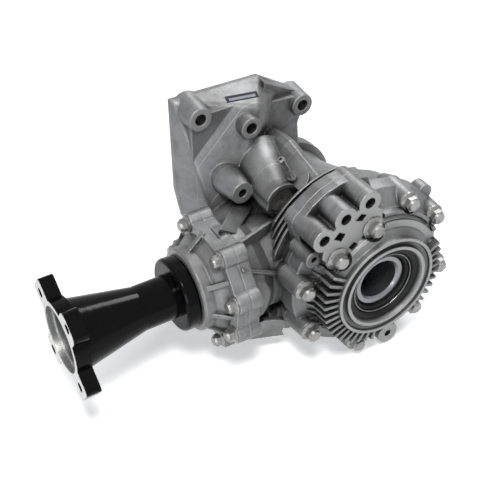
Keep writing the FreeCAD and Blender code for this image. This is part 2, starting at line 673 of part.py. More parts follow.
# ======================================================================================
# adapter case
# ======================================================================================
def adapter_outline(reach0, reach1):
    """Scalloped outline of the adapter flange: a polygon through the bolts with a lobe at each."""
    ring = sorted(ADAPTER_BOLT_ANGLES)
    pieces = [prism_out([polar(angle, ADAPTER_BOLT_CIRCLE_R + 5.5) for angle in ring], reach0, reach1)]
    for angle in ring:
        x, z = polar(angle, ADAPTER_BOLT_CIRCLE_R)
        pieces.append(cyl_out(reach0, reach1, ADAPTER_LOBE_R, x, z))
    return pieces


def adapter_case():
    """Bearing carrier that closes the pinion bore, with a scalloped bolting flange."""
    seam = ADAPTER_SEAM_REACH
    seat = seam + ADAPTER_FLANGE_T
    end = ADAPTER_END_REACH
    outer = [turned_out([(ADAPTER_SPIGOT_REACH, 0), (ADAPTER_SPIGOT_REACH, ADAPTER_SPIGOT_R - 1),
                         (ADAPTER_SPIGOT_REACH + 1, ADAPTER_SPIGOT_R), (seam, ADAPTER_SPIGOT_R),
                         (seat - 1, 53.0), (seat + 8, 47.0), (seat + 11, ADAPTER_NECK_R + 2),
                         (end - 2, ADAPTER_NECK_R + 2), (end, ADAPTER_NECK_R), (end, 0)])]
    outer += adapter_outline(seam, seat)
    for angle in (95.0, 35.0, 355.0, 150.0, 210.0, 270.0, 317.0):
        ux, uz = polar(angle, 1.0)
        rib = web([(ux * 40, -(seat - 3), uz * 40), (ux * 60, -(seat - 3), uz * 60),
                   (ux * 43, -(seat + 18), uz * 43), (ux * 40, -(seat + 18), uz * 40)], 5.0)
        outer.append(rib)
    body = joined(outer)
    cuts = [cyl_out(TAIL_START, PINION_SEAL_REACH + 1, TAIL_CUP_R + SEAT_GAP),
            cyl_out(ADAPTER_SPIGOT_REACH - 1, TAIL_START + 1, TAIL_CUP_R - CUP_SHOULDER),
            cyl_out(PINION_SEAL_REACH, end + 1, PINION_SEAL_R + SEAT_GAP)]
    groove = tube_out(118, 122, ADAPTER_SPIGOT_R + 1, ADAPTER_SPIGOT_R - 2.4)
    cuts.append(groove)
    for angle in ADAPTER_BOLT_ANGLES:
        x, z = polar(angle, ADAPTER_BOLT_CIRCLE_R)
        cuts.append(cyl_out(seam - 1, seat + 1, ADAPTER_BOLT_R + BOLT_HOLE_GAP, x, z))
        cuts.append(cyl_out(seat, seat + 12, ADAPTER_LOBE_R - 0.8, x, z))
    return body.cut(group(cuts))


def adapter_o_ring():
    """Rubber ring in the groove of the adapter spigot."""
    ring = Part.makeTorus(ADAPTER_SPIGOT_R - 1.2, 1.2, Vector(0, -120, 0), Vector(0, 1, 0))
    return ring


def adapter_bolts():
    """Flange bolts that hold the adapter case."""
    seat = ADAPTER_SEAM_REACH + ADAPTER_FLANGE_T
    model = flange_bolt(ADAPTER_BOLT_R, ADAPTER_BOLT_FLATS, ADAPTER_FLANGE_T, ADAPTER_THREAD, 9.0, 2.4)
    model.rotate(Vector(0, 0, 0), Vector(0, 0, 1), -90)
    return group([placed(model, Vector(x, -seat, z)) for x, z in
                  [polar(angle, ADAPTER_BOLT_CIRCLE_R) for angle in ADAPTER_BOLT_ANGLES]])


# ======================================================================================
# transfer cover
# ======================================================================================
def boss_rim():
    """Corners of the rim that carries the boss row, from the shaft axis outwards."""
    return [(0.0, 0.0)] + [polar(angle, BOSS_CIRCLE_R + out) for angle, out in BOSS_RIM]


def transfer_cover():
    """Outboard casting: bolting flange, finned drum, rim, boss plateau and seal bore."""
    drum_end = 96.0
    flange_x = PARTING_X + COVER_FLANGE_T
    outer = [turned_x([(PARTING_X, 0), (PARTING_X, COVER_FLANGE_R), (flange_x - 1, COVER_FLANGE_R),
                       (flange_x, COVER_FLANGE_R - 1), (flange_x + 4, COVER_DRUM_R + 9), (78, COVER_DRUM_R + 2),
                       (84, COVER_DRUM_R), (drum_end - 4, COVER_DRUM_R - 3), (drum_end, COVER_RIM_R),
                       (COVER_RIM_X, COVER_RIM_R), (COVER_RIM_X, 0)])]
    for angle in COVER_BOLT_ANGLES:
        y, z = polar(angle, COVER_BOLT_CIRCLE_R)
        outer.append(cone_x(PARTING_X, COVER_LOBE_R + 1.0, COVER_BOLT_SEAT_X, COVER_LOBE_R - 1.0, y, z))
        uy, uz = polar(angle, 1.0)
        outer.append(web([(PARTING_X, uy * 60, uz * 60), (PARTING_X, uy * 86, uz * 86),
                          (COVER_BOLT_SEAT_X - 5, uy * 86, uz * 86), (COVER_BOLT_SEAT_X - 1, uy * 64, uz * 64)],
                         COVER_LOBE_R * 1.3))
    outer.append(prism_x(boss_rim(), PARTING_X, PARTING_X + 9))
    cone = turned_x([(PARTING_X, 0), (PARTING_X, 96), (flange_x - 2, 95), (79, 80), (90, 68), (90, 0)])
    outer.append(cone.common(prism_x([(0, 0), polar(93, 140), polar(60, 160), polar(20, 140)], PARTING_X, 91)))
    for angle in BOSS_HOLE_ANGLES:
        y, z = polar(angle, BOSS_CIRCLE_R)
        outer.append(cyl_x(PARTING_X, PLATEAU_X, BOSS_R, y, z))
    plateau = [polar(146, 62), polar(142, 88), polar(131.5, 101), polar(115.5, 104), polar(99.5, 101),
               polar(91, 88), polar(90, 62)]
    outer.append(prism_x(plateau, PARTING_X, PLATEAU_X))
    for angle in PLATEAU_BOLT_ANGLES:
        outer.append(cyl_x(PARTING_X, PLATEAU_X, 13.0, *polar(angle, PLATEAU_BOLT_CIRCLE_R)))
    outer.append(cyl_x(PARTING_X, 80, 9.0, *polar(145.0, 90.0)))
    outer.append(cyl_x(PARTING_X, 90, 12.0, 18.0, -83.0))
    outer.append(prism_x([(8, -60), (30, -55), (29, -84), (7, -84)], PARTING_X, 86))
    outer.append(cyl_x(PARTING_X, 64, 9.0, *polar(43.0, 96.0)))
    fin_angles = [150 + FIN_STEP_ANGLE * i for i in range(16)] + [-55 + FIN_STEP_ANGLE * i for i in range(11)]
    for angle in fin_angles:
        uy, uz = polar(angle, 1.0)
        outer.append(web([(66, uy * 60, uz * 60), (66, uy * (FIN_TIP_R + 6), uz * (FIN_TIP_R + 6)),
                          (80, uy * FIN_TIP_R, uz * FIN_TIP_R), (drum_end + 2, uy * (FIN_TIP_R - 1), uz * (FIN_TIP_R - 1)),
                          (drum_end + 4, uy * (COVER_RIM_R - 1), uz * (COVER_RIM_R - 1))], FIN_T))
    for radius in (69.0, 77.0):
        arc = tube_x(66, 90 - (radius - 69) * 0.5, radius + 2.0, radius - 2.0)
        sector = prism_x([(0, 0), polar(88, 130), polar(55, 130), polar(24, 130)], 60, 100)
        outer.append(arc.common(sector))
    body = joined(outer)
    groove = turned_x([(COVER_RIM_X + 1, GROOVE_OUTER_R + 0.5), (COVER_RIM_X - 3, GROOVE_OUTER_R - 0.5),
                       (COVER_RIM_X - 4, GROOVE_INNER_R + 0.5), (COVER_RIM_X + 1, GROOVE_INNER_R)])
    cavity = turned_x([(PARTING_X - 1, 0), (PARTING_X - 1, GEAR_CAVITY_R), (PARTING_X + 8, GEAR_CAVITY_R),
                       (PARTING_X + 13, GEAR_CAVITY_R - 8), (COVER_BEARING_X - 1, 62), (COVER_BEARING_X - 1, SIDE_CUP_R + SEAT_GAP),
                       (COVER_BEARING_X + SIDE_WIDTH, SIDE_CUP_R + SEAT_GAP), (COVER_BEARING_X + SIDE_WIDTH, 40),
                       (SEAL_FACE_X - COVER_SEAL_T, 40), (SEAL_FACE_X - COVER_SEAL_T, SEAL_R + SEAT_GAP),
                       (SEAL_FACE_X, SEAL_R + SEAT_GAP), (COVER_RIM_X - 2, SEAL_R + 0.5), (COVER_RIM_X + 1, SEAL_R + 2.5),
                       (COVER_RIM_X + 1, 0)])
    cuts = [cavity, groove]
    for angle in COVER_BOLT_ANGLES:
        y, z = polar(angle, COVER_BOLT_CIRCLE_R)
        cuts.append(cyl_x(PARTING_X - 1, COVER_BOLT_SEAT_X + 1, COVER_BOLT_R + BOLT_HOLE_GAP, y, z))
        cuts.append(cyl_x(COVER_BOLT_SEAT_X, COVER_BOLT_SEAT_X + 14, COVER_LOBE_R - 0.3, y, z))
    for angle in PLATEAU_BOLT_ANGLES:
        cuts.append(cyl_x(PLATEAU_X - 16, PLATEAU_X + 1, COVER_BOLT_R + SEAT_GAP, *polar(angle, PLATEAU_BOLT_CIRCLE_R)))
        cuts.append(cyl_x(PLATEAU_X, PLATEAU_X + 20, 13.0, *polar(angle, PLATEAU_BOLT_CIRCLE_R)))
    for angle in BOSS_HOLE_ANGLES:
        cuts.append(cyl_x(PARTING_X - 1, PLATEAU_X + 1, BOSS_HOLE_R, *polar(angle, BOSS_CIRCLE_R)))
    for corners in PLATEAU_POCKETS:
        cuts.append(prism_x(corners, PLATEAU_X - 13, PLATEAU_X + 1))
    cuts.append(cyl_x(PLATEAU_X - 8, PLATEAU_X + 1, 2.2, -21.7, 62.5))
    cuts.append(cyl_x(62, 81, 3.4, *polar(145.0, 90.0)))
    cuts.append(cyl_x(70, 91, 4.0, 18.0, -83.0))
    return body.cut(cuts)


def cover_bolts():
    """Flange bolts that join the cover to the main case."""
    model = flange_bolt(COVER_BOLT_R, COVER_BOLT_FLATS, COVER_BOLT_SEAT_X - PARTING_X,
                        COVER_THREAD, 10.6, 2.6)
    return group([placed(model, Vector(COVER_BOLT_SEAT_X, *polar(angle, COVER_BOLT_CIRCLE_R)))
                  for angle in COVER_BOLT_ANGLES])


def plateau_bolts():
    """Two bolts with large washers on the boss plateau."""
    model = flange_bolt(COVER_BOLT_R, COVER_BOLT_FLATS, 14, 0, 12.0, 2.2)
    return group([placed(model, Vector(PLATEAU_X, *polar(angle, PLATEAU_BOLT_CIRCLE_R)))
                  for angle in PLATEAU_BOLT_ANGLES])



# ======================================================================================
# main case
# ======================================================================================
PANEL_X = -75.0          # height of the hood's sloping panel on the line z - y = PANEL_LINE
PANEL_LINE = 209.0
PANEL_RISE = 0.318       # rise in X per millimetre of y - z
HOOD_RIM_T = 6.0
HOOD_DRAFT = (          # y, z of a corner of the foot and the lean of the side that follows it
    (-128.0, 153.0, 0.45), (-26.0, 151.0, 0.7), (6.0, 131.0, 1.45), (-8.0, 60.0, 0.9),
    (-60.0, -24.0, 0.6), (-108.0, -22.0, 0.5), (-123.0, 8.0, 0.42), (-129.0, 45.0, 0.42),
)
HOOD_EDGE_R = 8.0
EAR_Y = 13.5
EAR_Z = 115.5
EAR_R = 12.0
MOUNT_HOLES = (          # y, z, face x, boss radius of the gearbox bolts
    (-109.0, 139.0, EAR_FACE_X + 3.0, 12.5),
    (-59.0, 120.0, -58.0, 11.5),
    (EAR_Y, EAR_Z, EAR_FACE_X, EAR_R),
    (66.0, -30.0, -91.0, 12.0),
    (-38.0, -72.0, -91.0, 12.0),
)


def trim(shape, point, outward):
    """Cut away what lies beyond a plane through a point."""
    out = Vector(*outward).normalize()
    side = out.cross(Vector(0.1, 0.3, 0.9)).normalize()
    rise = out.cross(side)
    corners = [point + side * a + rise * b for a, b in ((-400, -400), (400, -400), (400, 400), (-400, 400))]
    slab = Part.Face(Part.makePolygon(corners + corners[:1])).extrude(out * 400)
    return shape.cut(slab)


def ruled(sections):
    """Solid with flat or ruled sides through closed sections of equal corner count."""
    wires = []
    for section in sections:
        points = [Vector(*corner) for corner in section]
        wires.append(Part.makePolygon(points + [points[0]]))
    return Part.makeLoft(wires, True, True)


def cone_x(x0, radius0, x1, radius1, y, z):
    """Tapered boss along X."""
    return Part.makeCone(radius0, radius1, x1 - x0, Vector(x0, y, z), Vector(1, 0, 0))


def mounting_flange():
    """Flange towards the gearbox: hood rim, upper ear and two lower ears."""
    x0, x1 = MOUNT_FACE_X, MOUNT_FACE_X + MOUNT_FLANGE_T
    pieces = [cyl_x(x0, x1, NECK_END_R + 8)]
    pieces.append(prism_x([(-40, 40), (-26, 149), (6, 131), (EAR_Y + 8.5, EAR_Z + 8.5), (EAR_Y + 11.8, EAR_Z - 2),
                           (EAR_Y + 2, EAR_Z - 28), (18, 50)], x0, x1 + 4))
    pieces.append(cone_x(x0, EAR_R + 2.5, EAR_FACE_X, EAR_R, EAR_Y, EAR_Z))
    pieces.append(ruled([[(x0, EAR_Y - 30, EAR_Z + 14), (x0, EAR_Y + 9, EAR_Z + 9), (x0, EAR_Y + 9, EAR_Z - 9),
                          (x0, EAR_Y - 30, EAR_Z - 40)],
                         [(EAR_FACE_X - 5, EAR_Y - 44, EAR_Z + 14), (EAR_FACE_X - 5, EAR_Y + 4, EAR_Z + 9),
                          (EAR_FACE_X - 5, EAR_Y + 4, EAR_Z - 9), (EAR_FACE_X - 5, EAR_Y - 44, EAR_Z - 34)]]))
    for y, z, face_x, boss_r in MOUNT_HOLES:
        if z > 0:
            pieces.append(cone_x(x0, boss_r + 4.5, face_x, boss_r, y, z) if y < 0 else cyl_x(x0, face_x, boss_r, y, z))
            continue
        pieces.append(cyl_x(x0, face_x, boss_r, y, z))
        distance = math.hypot(y, z)
        uy, uz = y / distance, z / distance
        pieces.append(prism_x([(y - uz * boss_r, z + uy * boss_r), (y + uz * boss_r, z - uy * boss_r),
                               (uy * 40 + uz * 24, uz * 40 - uy * 24), (uy * 40 - uz * 24, uz * 40 + uy * 24)], x0, x1))
    return pieces


def hood():
    """Tall corner of the case that reaches up the gearbox: drafted sides under a sloping panel."""
    foot = [(y, z) for y, z, lean in HOOD_DRAFT]
    base_x = MOUNT_FACE_X + HOOD_RIM_T
    shell = prism_x(foot, MOUNT_FACE_X, -20)
    for index, (y, z, lean) in enumerate(HOOD_DRAFT):
        next_y, next_z = foot[(index + 1) % len(foot)]
        length = math.hypot(next_y - y, next_z - z)
        outward = (lean, (z - next_z) / length, (next_y - y) / length)
        shell = trim(shell, Vector(base_x, y, z), outward)
    shell = trim(shell, Vector(PANEL_X, -PANEL_LINE, 0), (1, -PANEL_RISE, PANEL_RISE))
    shell = shell.makeFillet(HOOD_EDGE_R, [edge for edge in shell.Edges if edge.BoundBox.XMax > base_x + 1])
    corner = prism_x([(-118.5, 141.5), (-68, 141.5), (-109, 100.5), (-118.5, 91)], MOUNT_FACE_X, PANEL_X - 0.5)
    return [shell, corner]


def crest():
    """Wall that falls from the top of the hood along the shoulder to the bell."""
    return ruled([
        [(-100, -60, 70), (-100, -30, 96), (-100, -22, 98), (-100, -12, 92), (-100, -8, 45), (-100, -60, 45)],
        [(-45, -50, 72), (-45, -29, 97), (-45, -22, 101), (-45, -15, 97), (-45, -8, 45), (-45, -50, 45)],
        [(10, -40, 74), (10, -26, 84), (10, -22, 87), (10, -16, 84), (10, -14, 45), (10, -40, 45)]])


def radial_bosses():
    """Conical bosses of the filler, the drain, the breather and the stay hole."""
    up = Vector(0, *polar(BREATHER_ANGLE, 1.0))
    pad = Part.makeCylinder(BREATHER_PAD_R, 24, Vector(BREATHER_X, *polar(BREATHER_ANGLE, 66.0)), up)
    mound = Part.makeLoft([
        Part.Wire(Part.makeCircle(30.0, Vector(-66, -46, 72), Vector(1, 0, 0))),
        Part.Wire(Part.makeCircle(FILLER_R + 4.6, Vector(-12, FILLER_Y, FILLER_Z), Vector(1, 0, 0)))], True, True)
    return [mound,
            cyl_x(-20, FILLER_FACE_X, FILLER_R + 4.6, FILLER_Y, FILLER_Z),
            cone_x(-16, DRAIN_R + 15, DRAIN_FACE_X, DRAIN_R + 6, DRAIN_Y, DRAIN_Z),
            web([(-8, -40, -40), (-8, DRAIN_Y, DRAIN_Z), (14, DRAIN_Y, DRAIN_Z), (20, -40, -40)], 20.0),
            pad,
            cone_x(-80, 21, STAY_FACE_X, 12.0, STAY_Y, STAY_Z)]


def case_ribs():
    """Thin cast ribs between adapter flange, bosses and bell."""
    seam = ADAPTER_SEAM_REACH
    return [
        web([(4.5, 2 - seam, 63), (-41, -91, 51), (-47, -79, 46), (-45, -79, 20), (0, 2 - seam, 25)], 3.6),
        web([(29.5, 2 - seam, 59), (11, -80, 56), (8, -74, 30), (27, 2 - seam, 30)], 3.6),
        web([(49, 2 - seam, 44), (46, -81, 13.5), (36, -81, 0), (38, 2 - seam, 10)], 3.6),
        web([(-72, -96, 40), (-60, 4 - seam, 22), (-10, 4 - seam, 30), (-48, -86, 52)], 4.0),
        web([(24, 3 - seam, -60), (27, -117, -73), (45, -64, -75), (44, -60, -50), (24, -100, -40)], 5.0),
        web([(-30, 6 - seam, -52), (-30, -80, -60), (-30, -66, -20), (-30, 6 - seam, -30)], 4.0),
        prism_out([(11, -38), (29, -38), (31, -57), (14, -60)], 94, 111),
    ]


def main_case():
    """Aluminium casting between gearbox, cover and adapter case."""
    seam = ADAPTER_SEAM_REACH
    rim_x = PARTING_X - CASE_RIM_T
    bell = turned_x([(MOUNT_FACE_X, 0), (MOUNT_FACE_X, NECK_END_R), (NECK_END_X, NECK_END_R),
                     (NECK_START_X - 26, NECK_END_R + 14), (NECK_START_X, NECK_R), (NECK_START_X + 6, BELL_R - 3),
                     (rim_x - 3, BELL_R), (rim_x, COVER_FLANGE_R), (PARTING_X, COVER_FLANGE_R), (PARTING_X, 0)])
    shoulder_box = Part.makeBox(400, 200, 160, Vector(-200, SHOULDER_Y - 200, -62))
    shoulder = cyl_x(MOUNT_FACE_X, NECK_START_X, NECK_R).common(shoulder_box)
    outer = [bell, shoulder, crest()] + mounting_flange() + hood() + radial_bosses() + case_ribs()
    for angle in COVER_BOLT_ANGLES:
        y, z = polar(angle, COVER_BOLT_CIRCLE_R)
        outer.append(cone_x(PARTING_X - 14, COVER_LOBE_R - 4, PARTING_X, COVER_LOBE_R + 1.0, y, z))
    outer.append(prism_x(boss_rim(), rim_x - 6, PARTING_X))
    for angle in BOSS_HOLE_ANGLES:
        outer.append(cyl_x(PARTING_X - 14, PARTING_X, BOSS_R, *polar(angle, BOSS_CIRCLE_R)))
    for i in range(CASE_FIN_COUNT):
        x = CASE_FIN_X + CASE_FIN_STEP * i
        ring = tube_x(x, x + CASE_FIN_T, CASE_RIM_R - 1.5 * (CASE_FIN_COUNT - 1 - i), BELL_R - 10)
        sector = prism_x([(0, 0)] + [polar(angle, 140) for angle in (92, 118, 145, 168)], x - 1, x + 5)
        outer.append(ring.common(sector))
    outer.append(turned_out([(20, 0), (20, 52), (70, 47), (98, 46.5), (110, 53), (seam - 12, 56),
                             (seam - 9, ADAPTER_FLANGE_R - 4), (seam, ADAPTER_FLANGE_R - 4), (seam, 0)]))
    outer += adapter_outline(seam - MATING_FLANGE_T, seam)
    body = joined(outer)
    return body.cut(main_case_hollows())


def main_case_hollows():
    """Everything that is bored, tapped or cleared in the main case."""
    seam = ADAPTER_SEAM_REACH
    head_stop = SPACER_START + PINION_SHIM_T
    spigot_stop = ADAPTER_SPIGOT_REACH - 1
    seal_x = CASE_BEARING_X - 16
    cup_end = CASE_BEARING_X + SIDE_WIDTH
    cuts = [turned_x([(MOUNT_FACE_X - 1, 0), (MOUNT_FACE_X - 1, SPIGOT_R + 1), (MOUNT_FACE_X + 1, SPIGOT_R),
                      (seal_x, SPIGOT_R), (seal_x, INPUT_SEAL_R + SEAT_GAP),
                      (seal_x + INPUT_SEAL_T, INPUT_SEAL_R + SEAT_GAP), (seal_x + INPUT_SEAL_T, 40),
                      (CASE_BEARING_X, 40), (CASE_BEARING_X, SIDE_CUP_R + SEAT_GAP),
                      (cup_end, SIDE_CUP_R + SEAT_GAP), (cup_end + 1, 49), (-24, 55), (4, 70),
                      (14, GEAR_CAVITY_R), (PARTING_X + 1, GEAR_CAVITY_R), (PARTING_X + 1, 0)]),
            turned_out([(10, 0), (10, HEAD_CUP_R + SEAT_GAP), (head_stop, HEAD_CUP_R + SEAT_GAP),
                        (head_stop, HEAD_CUP_R - CUP_SHOULDER), (spigot_stop, HEAD_CUP_R - CUP_SHOULDER),
                        (spigot_stop, ADAPTER_SPIGOT_R + SEAT_GAP), (seam + 1, ADAPTER_SPIGOT_R + SEAT_GAP),
                        (seam + 1, 0)]),
            cyl_x(PARTING_X, COVER_RIM_X, BOSS_RIM_CLEAR_R)]
    for angle in COVER_BOLT_ANGLES:
        y, z = polar(angle, COVER_BOLT_CIRCLE_R)
        cuts.append(cyl_x(PARTING_X - COVER_THREAD - 1, PARTING_X + 1, COVER_BOLT_R + SEAT_GAP, y, z))
    for angle in BOSS_HOLE_ANGLES:
        cuts.append(cyl_x(PARTING_X - 15, PARTING_X + 1, BOSS_HOLE_R, *polar(angle, BOSS_CIRCLE_R)))
    for angle in ADAPTER_BOLT_ANGLES:
        x, z = polar(angle, ADAPTER_BOLT_CIRCLE_R)
        cuts.append(cyl_out(seam - ADAPTER_THREAD - 1, seam + 1, ADAPTER_BOLT_R + SEAT_GAP, x, z))
    for y, z, face_x, boss_r in MOUNT_HOLES:
        cuts.append(cyl_x(MOUNT_FACE_X - 1, face_x + 1, MOUNT_HOLE_R, y, z))
        if z > 0:
            cuts.append(cyl_x(face_x, face_x + 40, boss_r - 0.3, y, z))
    cuts.append(cyl_x(STAY_FACE_X - 19, STAY_FACE_X + 1, STAY_HOLE_R, STAY_Y, STAY_Z))
    cuts.append(cyl_x(STAY_FACE_X, STAY_FACE_X + 30, 11.7, STAY_Y, STAY_Z))
    cuts.append(cyl_x(FILLER_FACE_X - 20, FILLER_FACE_X + 1, FILLER_R, FILLER_Y, FILLER_Z))
    cuts.append(cyl_x(FILLER_FACE_X, FILLER_FACE_X + 9, FILLER_R + 3.5, FILLER_Y, FILLER_Z))
    cuts.append(cyl_x(DRAIN_FACE_X - 14, DRAIN_FACE_X + 1, DRAIN_R - 1.5 + SEAT_GAP, DRAIN_Y, DRAIN_Z))
    cuts.append(cyl_x(DRAIN_FACE_X, PARTING_X, 13.0, DRAIN_Y, DRAIN_Z))
    up = Vector(0, *polar(BREATHER_ANGLE, 1.0))
    cuts.append(Part.makeCylinder(3.0, 20, Vector(BREATHER_X, *polar(BREATHER_ANGLE, 72.0)), up))
    return cuts


def filler_plug():
    """Sunk plug with a square drive recess."""
    face = FILLER_FACE_X - 4.4
    plug = turned_x([(face - 12, 0), (face - 12, FILLER_R - SEAT_GAP), (face - 1, FILLER_R - SEAT_GAP),
                     (face, FILLER_R - 1.2), (face, 0)])
    plug.translate(Vector(0, FILLER_Y, FILLER_Z))
    square = Part.makeBox(9, 12.7, 12.7, Vector(face - 8, -6.35, -6.35))
    square.translate(Vector(0, FILLER_Y, FILLER_Z))
    return plug.cut(square)


def drain_plug():
    """Hexagon drain plug."""
    plug = flange_bolt(DRAIN_R - 1.5, 17.0, 12, 0, 11.5, 2.5)
    return placed(plug, Vector(DRAIN_FACE_X + 1.5, DRAIN_Y, DRAIN_Z))


def drain_plug_gasket():
    """Crush washer under the drain plug."""
    return tube_x(DRAIN_FACE_X, DRAIN_FACE_X + 1.5, 12.5, DRAIN_R - 1.5 + SEAT_GAP, DRAIN_Y, DRAIN_Z)


def breather_tube():
    """Short pipe with a beaded end, pushed into the case."""
    up = Vector(0, *polar(117.0, 1.0))
    points = [(0, 0), (0, 2.98), (20, 2.98), (20, 4.4), (22, 4.4), (22, 3.0), (46, 3.0), (47.5, 3.8), (50, 3.8),
              (51.5, 3.0), (51.5, 1.6), (2, 1.6), (2, 0)]
    corners = [Vector(r, 0, s) for s, r in points]
    pipe = Part.Face(Part.makePolygon(corners + [corners[0]])).revolve(Vector(0, 0, 0), Vector(0, 0, 1), 360)
    pipe.Placement = FreeCAD.Placement(Vector(-8, *polar(117.0, 73.0)), FreeCAD.Rotation(Vector(0, 0, 1), up))
    return pipe


def input_oil_seal():
    """Seal between the case and the inboard end of the ring gear shaft."""
    face = CASE_BEARING_X - 16
    seal = lip_seal_x(0, INPUT_SEAL_T, INPUT_SEAL_R, SHAFT_JOURNAL_R)
    seal.rotate(Vector(0, 0, 0), Vector(0, 0, 1), 180)
    seal.translate(Vector(face, 0, 0))
    return seal


def build():
    """Every node of the transfer unit by name."""
    outboard, inboard, head, tail = cover_bearing(), case_bearing(), head_bearing(), tail_bearing()
    nodes = {
        "main_case": main_case(),
        "transfer_cover": transfer_cover(),
        "adapter_case": adapter_case(),
        "cover_bolts": cover_bolts(),
        "plateau_bolts": plateau_bolts(),
        "adapter_bolts": adapter_bolts(),
        "adapter_o_ring": adapter_o_ring(),
        "filler_plug": filler_plug(),
        "drain_plug": drain_plug(),
        "drain_plug_gasket": drain_plug_gasket(),
        "breather_tube": breather_tube(),
        "cover_oil_seal": lip_seal_x(SEAL_FACE_X, COVER_SEAL_T, SEAL_R, SHAFT_JOURNAL_R),
        "input_oil_seal": input_oil_seal(),
        "pinion_oil_seal": pinion_oil_seal(),
        "pinion_shim": pinion_shim(),
        "ring_gear": ring_gear(),
        "ring_gear_shaft": ring_gear_shaft(),
        "ring_gear_bolts": ring_gear_bolts(),
        "drive_pinion": drive_pinion(),
        "collapsible_spacer": collapsible_spacer(),
        "companion_flange": companion_flange(),
        "dust_shield": dust_shield(),
        "pinion_washer": pinion_washer(),
        "pinion_nut": pinion_nut(),
    }
    for name, parts in (("cover_bearing", outboard), ("case_bearing", inboard),
                        ("pinion_head_bearing", head), ("pinion_tail_bearing", tail)):
        for piece in ("cup", "cone", "rollers", "cage"):
            nodes[name + "_" + piece] = parts[piece]
    return nodes


if __name__ == "__main__":
    os.makedirs("parts", exist_ok=True)
    for node, shape in build().items():
        shape.exportStep("parts/" + node + ".step")
        print(node, shape.isValid(), len(shape.Solids), round(shape.Volume))
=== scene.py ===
import logging
import math
from dataclasses import dataclass
from enum import Enum, IntEnum
from typing import Callable, Iterable, Optional

import bpy
from mathutils import Matrix, Vector


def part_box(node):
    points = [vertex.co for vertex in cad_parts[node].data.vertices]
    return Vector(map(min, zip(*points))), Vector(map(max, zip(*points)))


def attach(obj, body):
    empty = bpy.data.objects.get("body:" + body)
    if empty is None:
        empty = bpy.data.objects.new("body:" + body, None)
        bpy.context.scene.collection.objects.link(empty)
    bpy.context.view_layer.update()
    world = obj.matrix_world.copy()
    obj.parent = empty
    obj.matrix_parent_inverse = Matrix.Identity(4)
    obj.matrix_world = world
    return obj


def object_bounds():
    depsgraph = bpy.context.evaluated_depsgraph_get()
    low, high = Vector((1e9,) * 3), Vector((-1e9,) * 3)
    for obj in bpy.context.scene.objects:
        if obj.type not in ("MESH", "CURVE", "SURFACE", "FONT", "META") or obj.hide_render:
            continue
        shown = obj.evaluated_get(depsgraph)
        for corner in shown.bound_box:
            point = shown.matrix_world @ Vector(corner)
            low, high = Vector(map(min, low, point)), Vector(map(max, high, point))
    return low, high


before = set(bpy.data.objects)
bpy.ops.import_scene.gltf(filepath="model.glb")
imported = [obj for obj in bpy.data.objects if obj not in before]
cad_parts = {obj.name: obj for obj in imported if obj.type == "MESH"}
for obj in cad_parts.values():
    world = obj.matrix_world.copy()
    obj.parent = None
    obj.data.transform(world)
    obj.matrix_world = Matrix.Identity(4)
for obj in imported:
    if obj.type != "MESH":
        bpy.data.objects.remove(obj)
CAD_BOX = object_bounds()

LOG = logging.getLogger("transfer_unit")
MM = 0.001
GEAR_COLOUR = (0.34, 0.33, 0.32, 1.0)


# --------------------------------------------------------------------------------------
# named options
# --------------------------------------------------------------------------------------
class Body(Enum):
    """Bodies that pieces ride on."""

    HOUSING = "housing"
    RING_GEAR_LINE = "ring_gear_line"
    PINION_LINE = "pinion_line"


class Axis(Enum):
    """Direction that a turned piece faces."""

    OUTBOARD = (1.0, 0.0, 0.0)


class Along(IntEnum):
    """Coordinate that a shaft line runs along or a milled face is level in."""

    SHAFT = 0
    PINION = 1


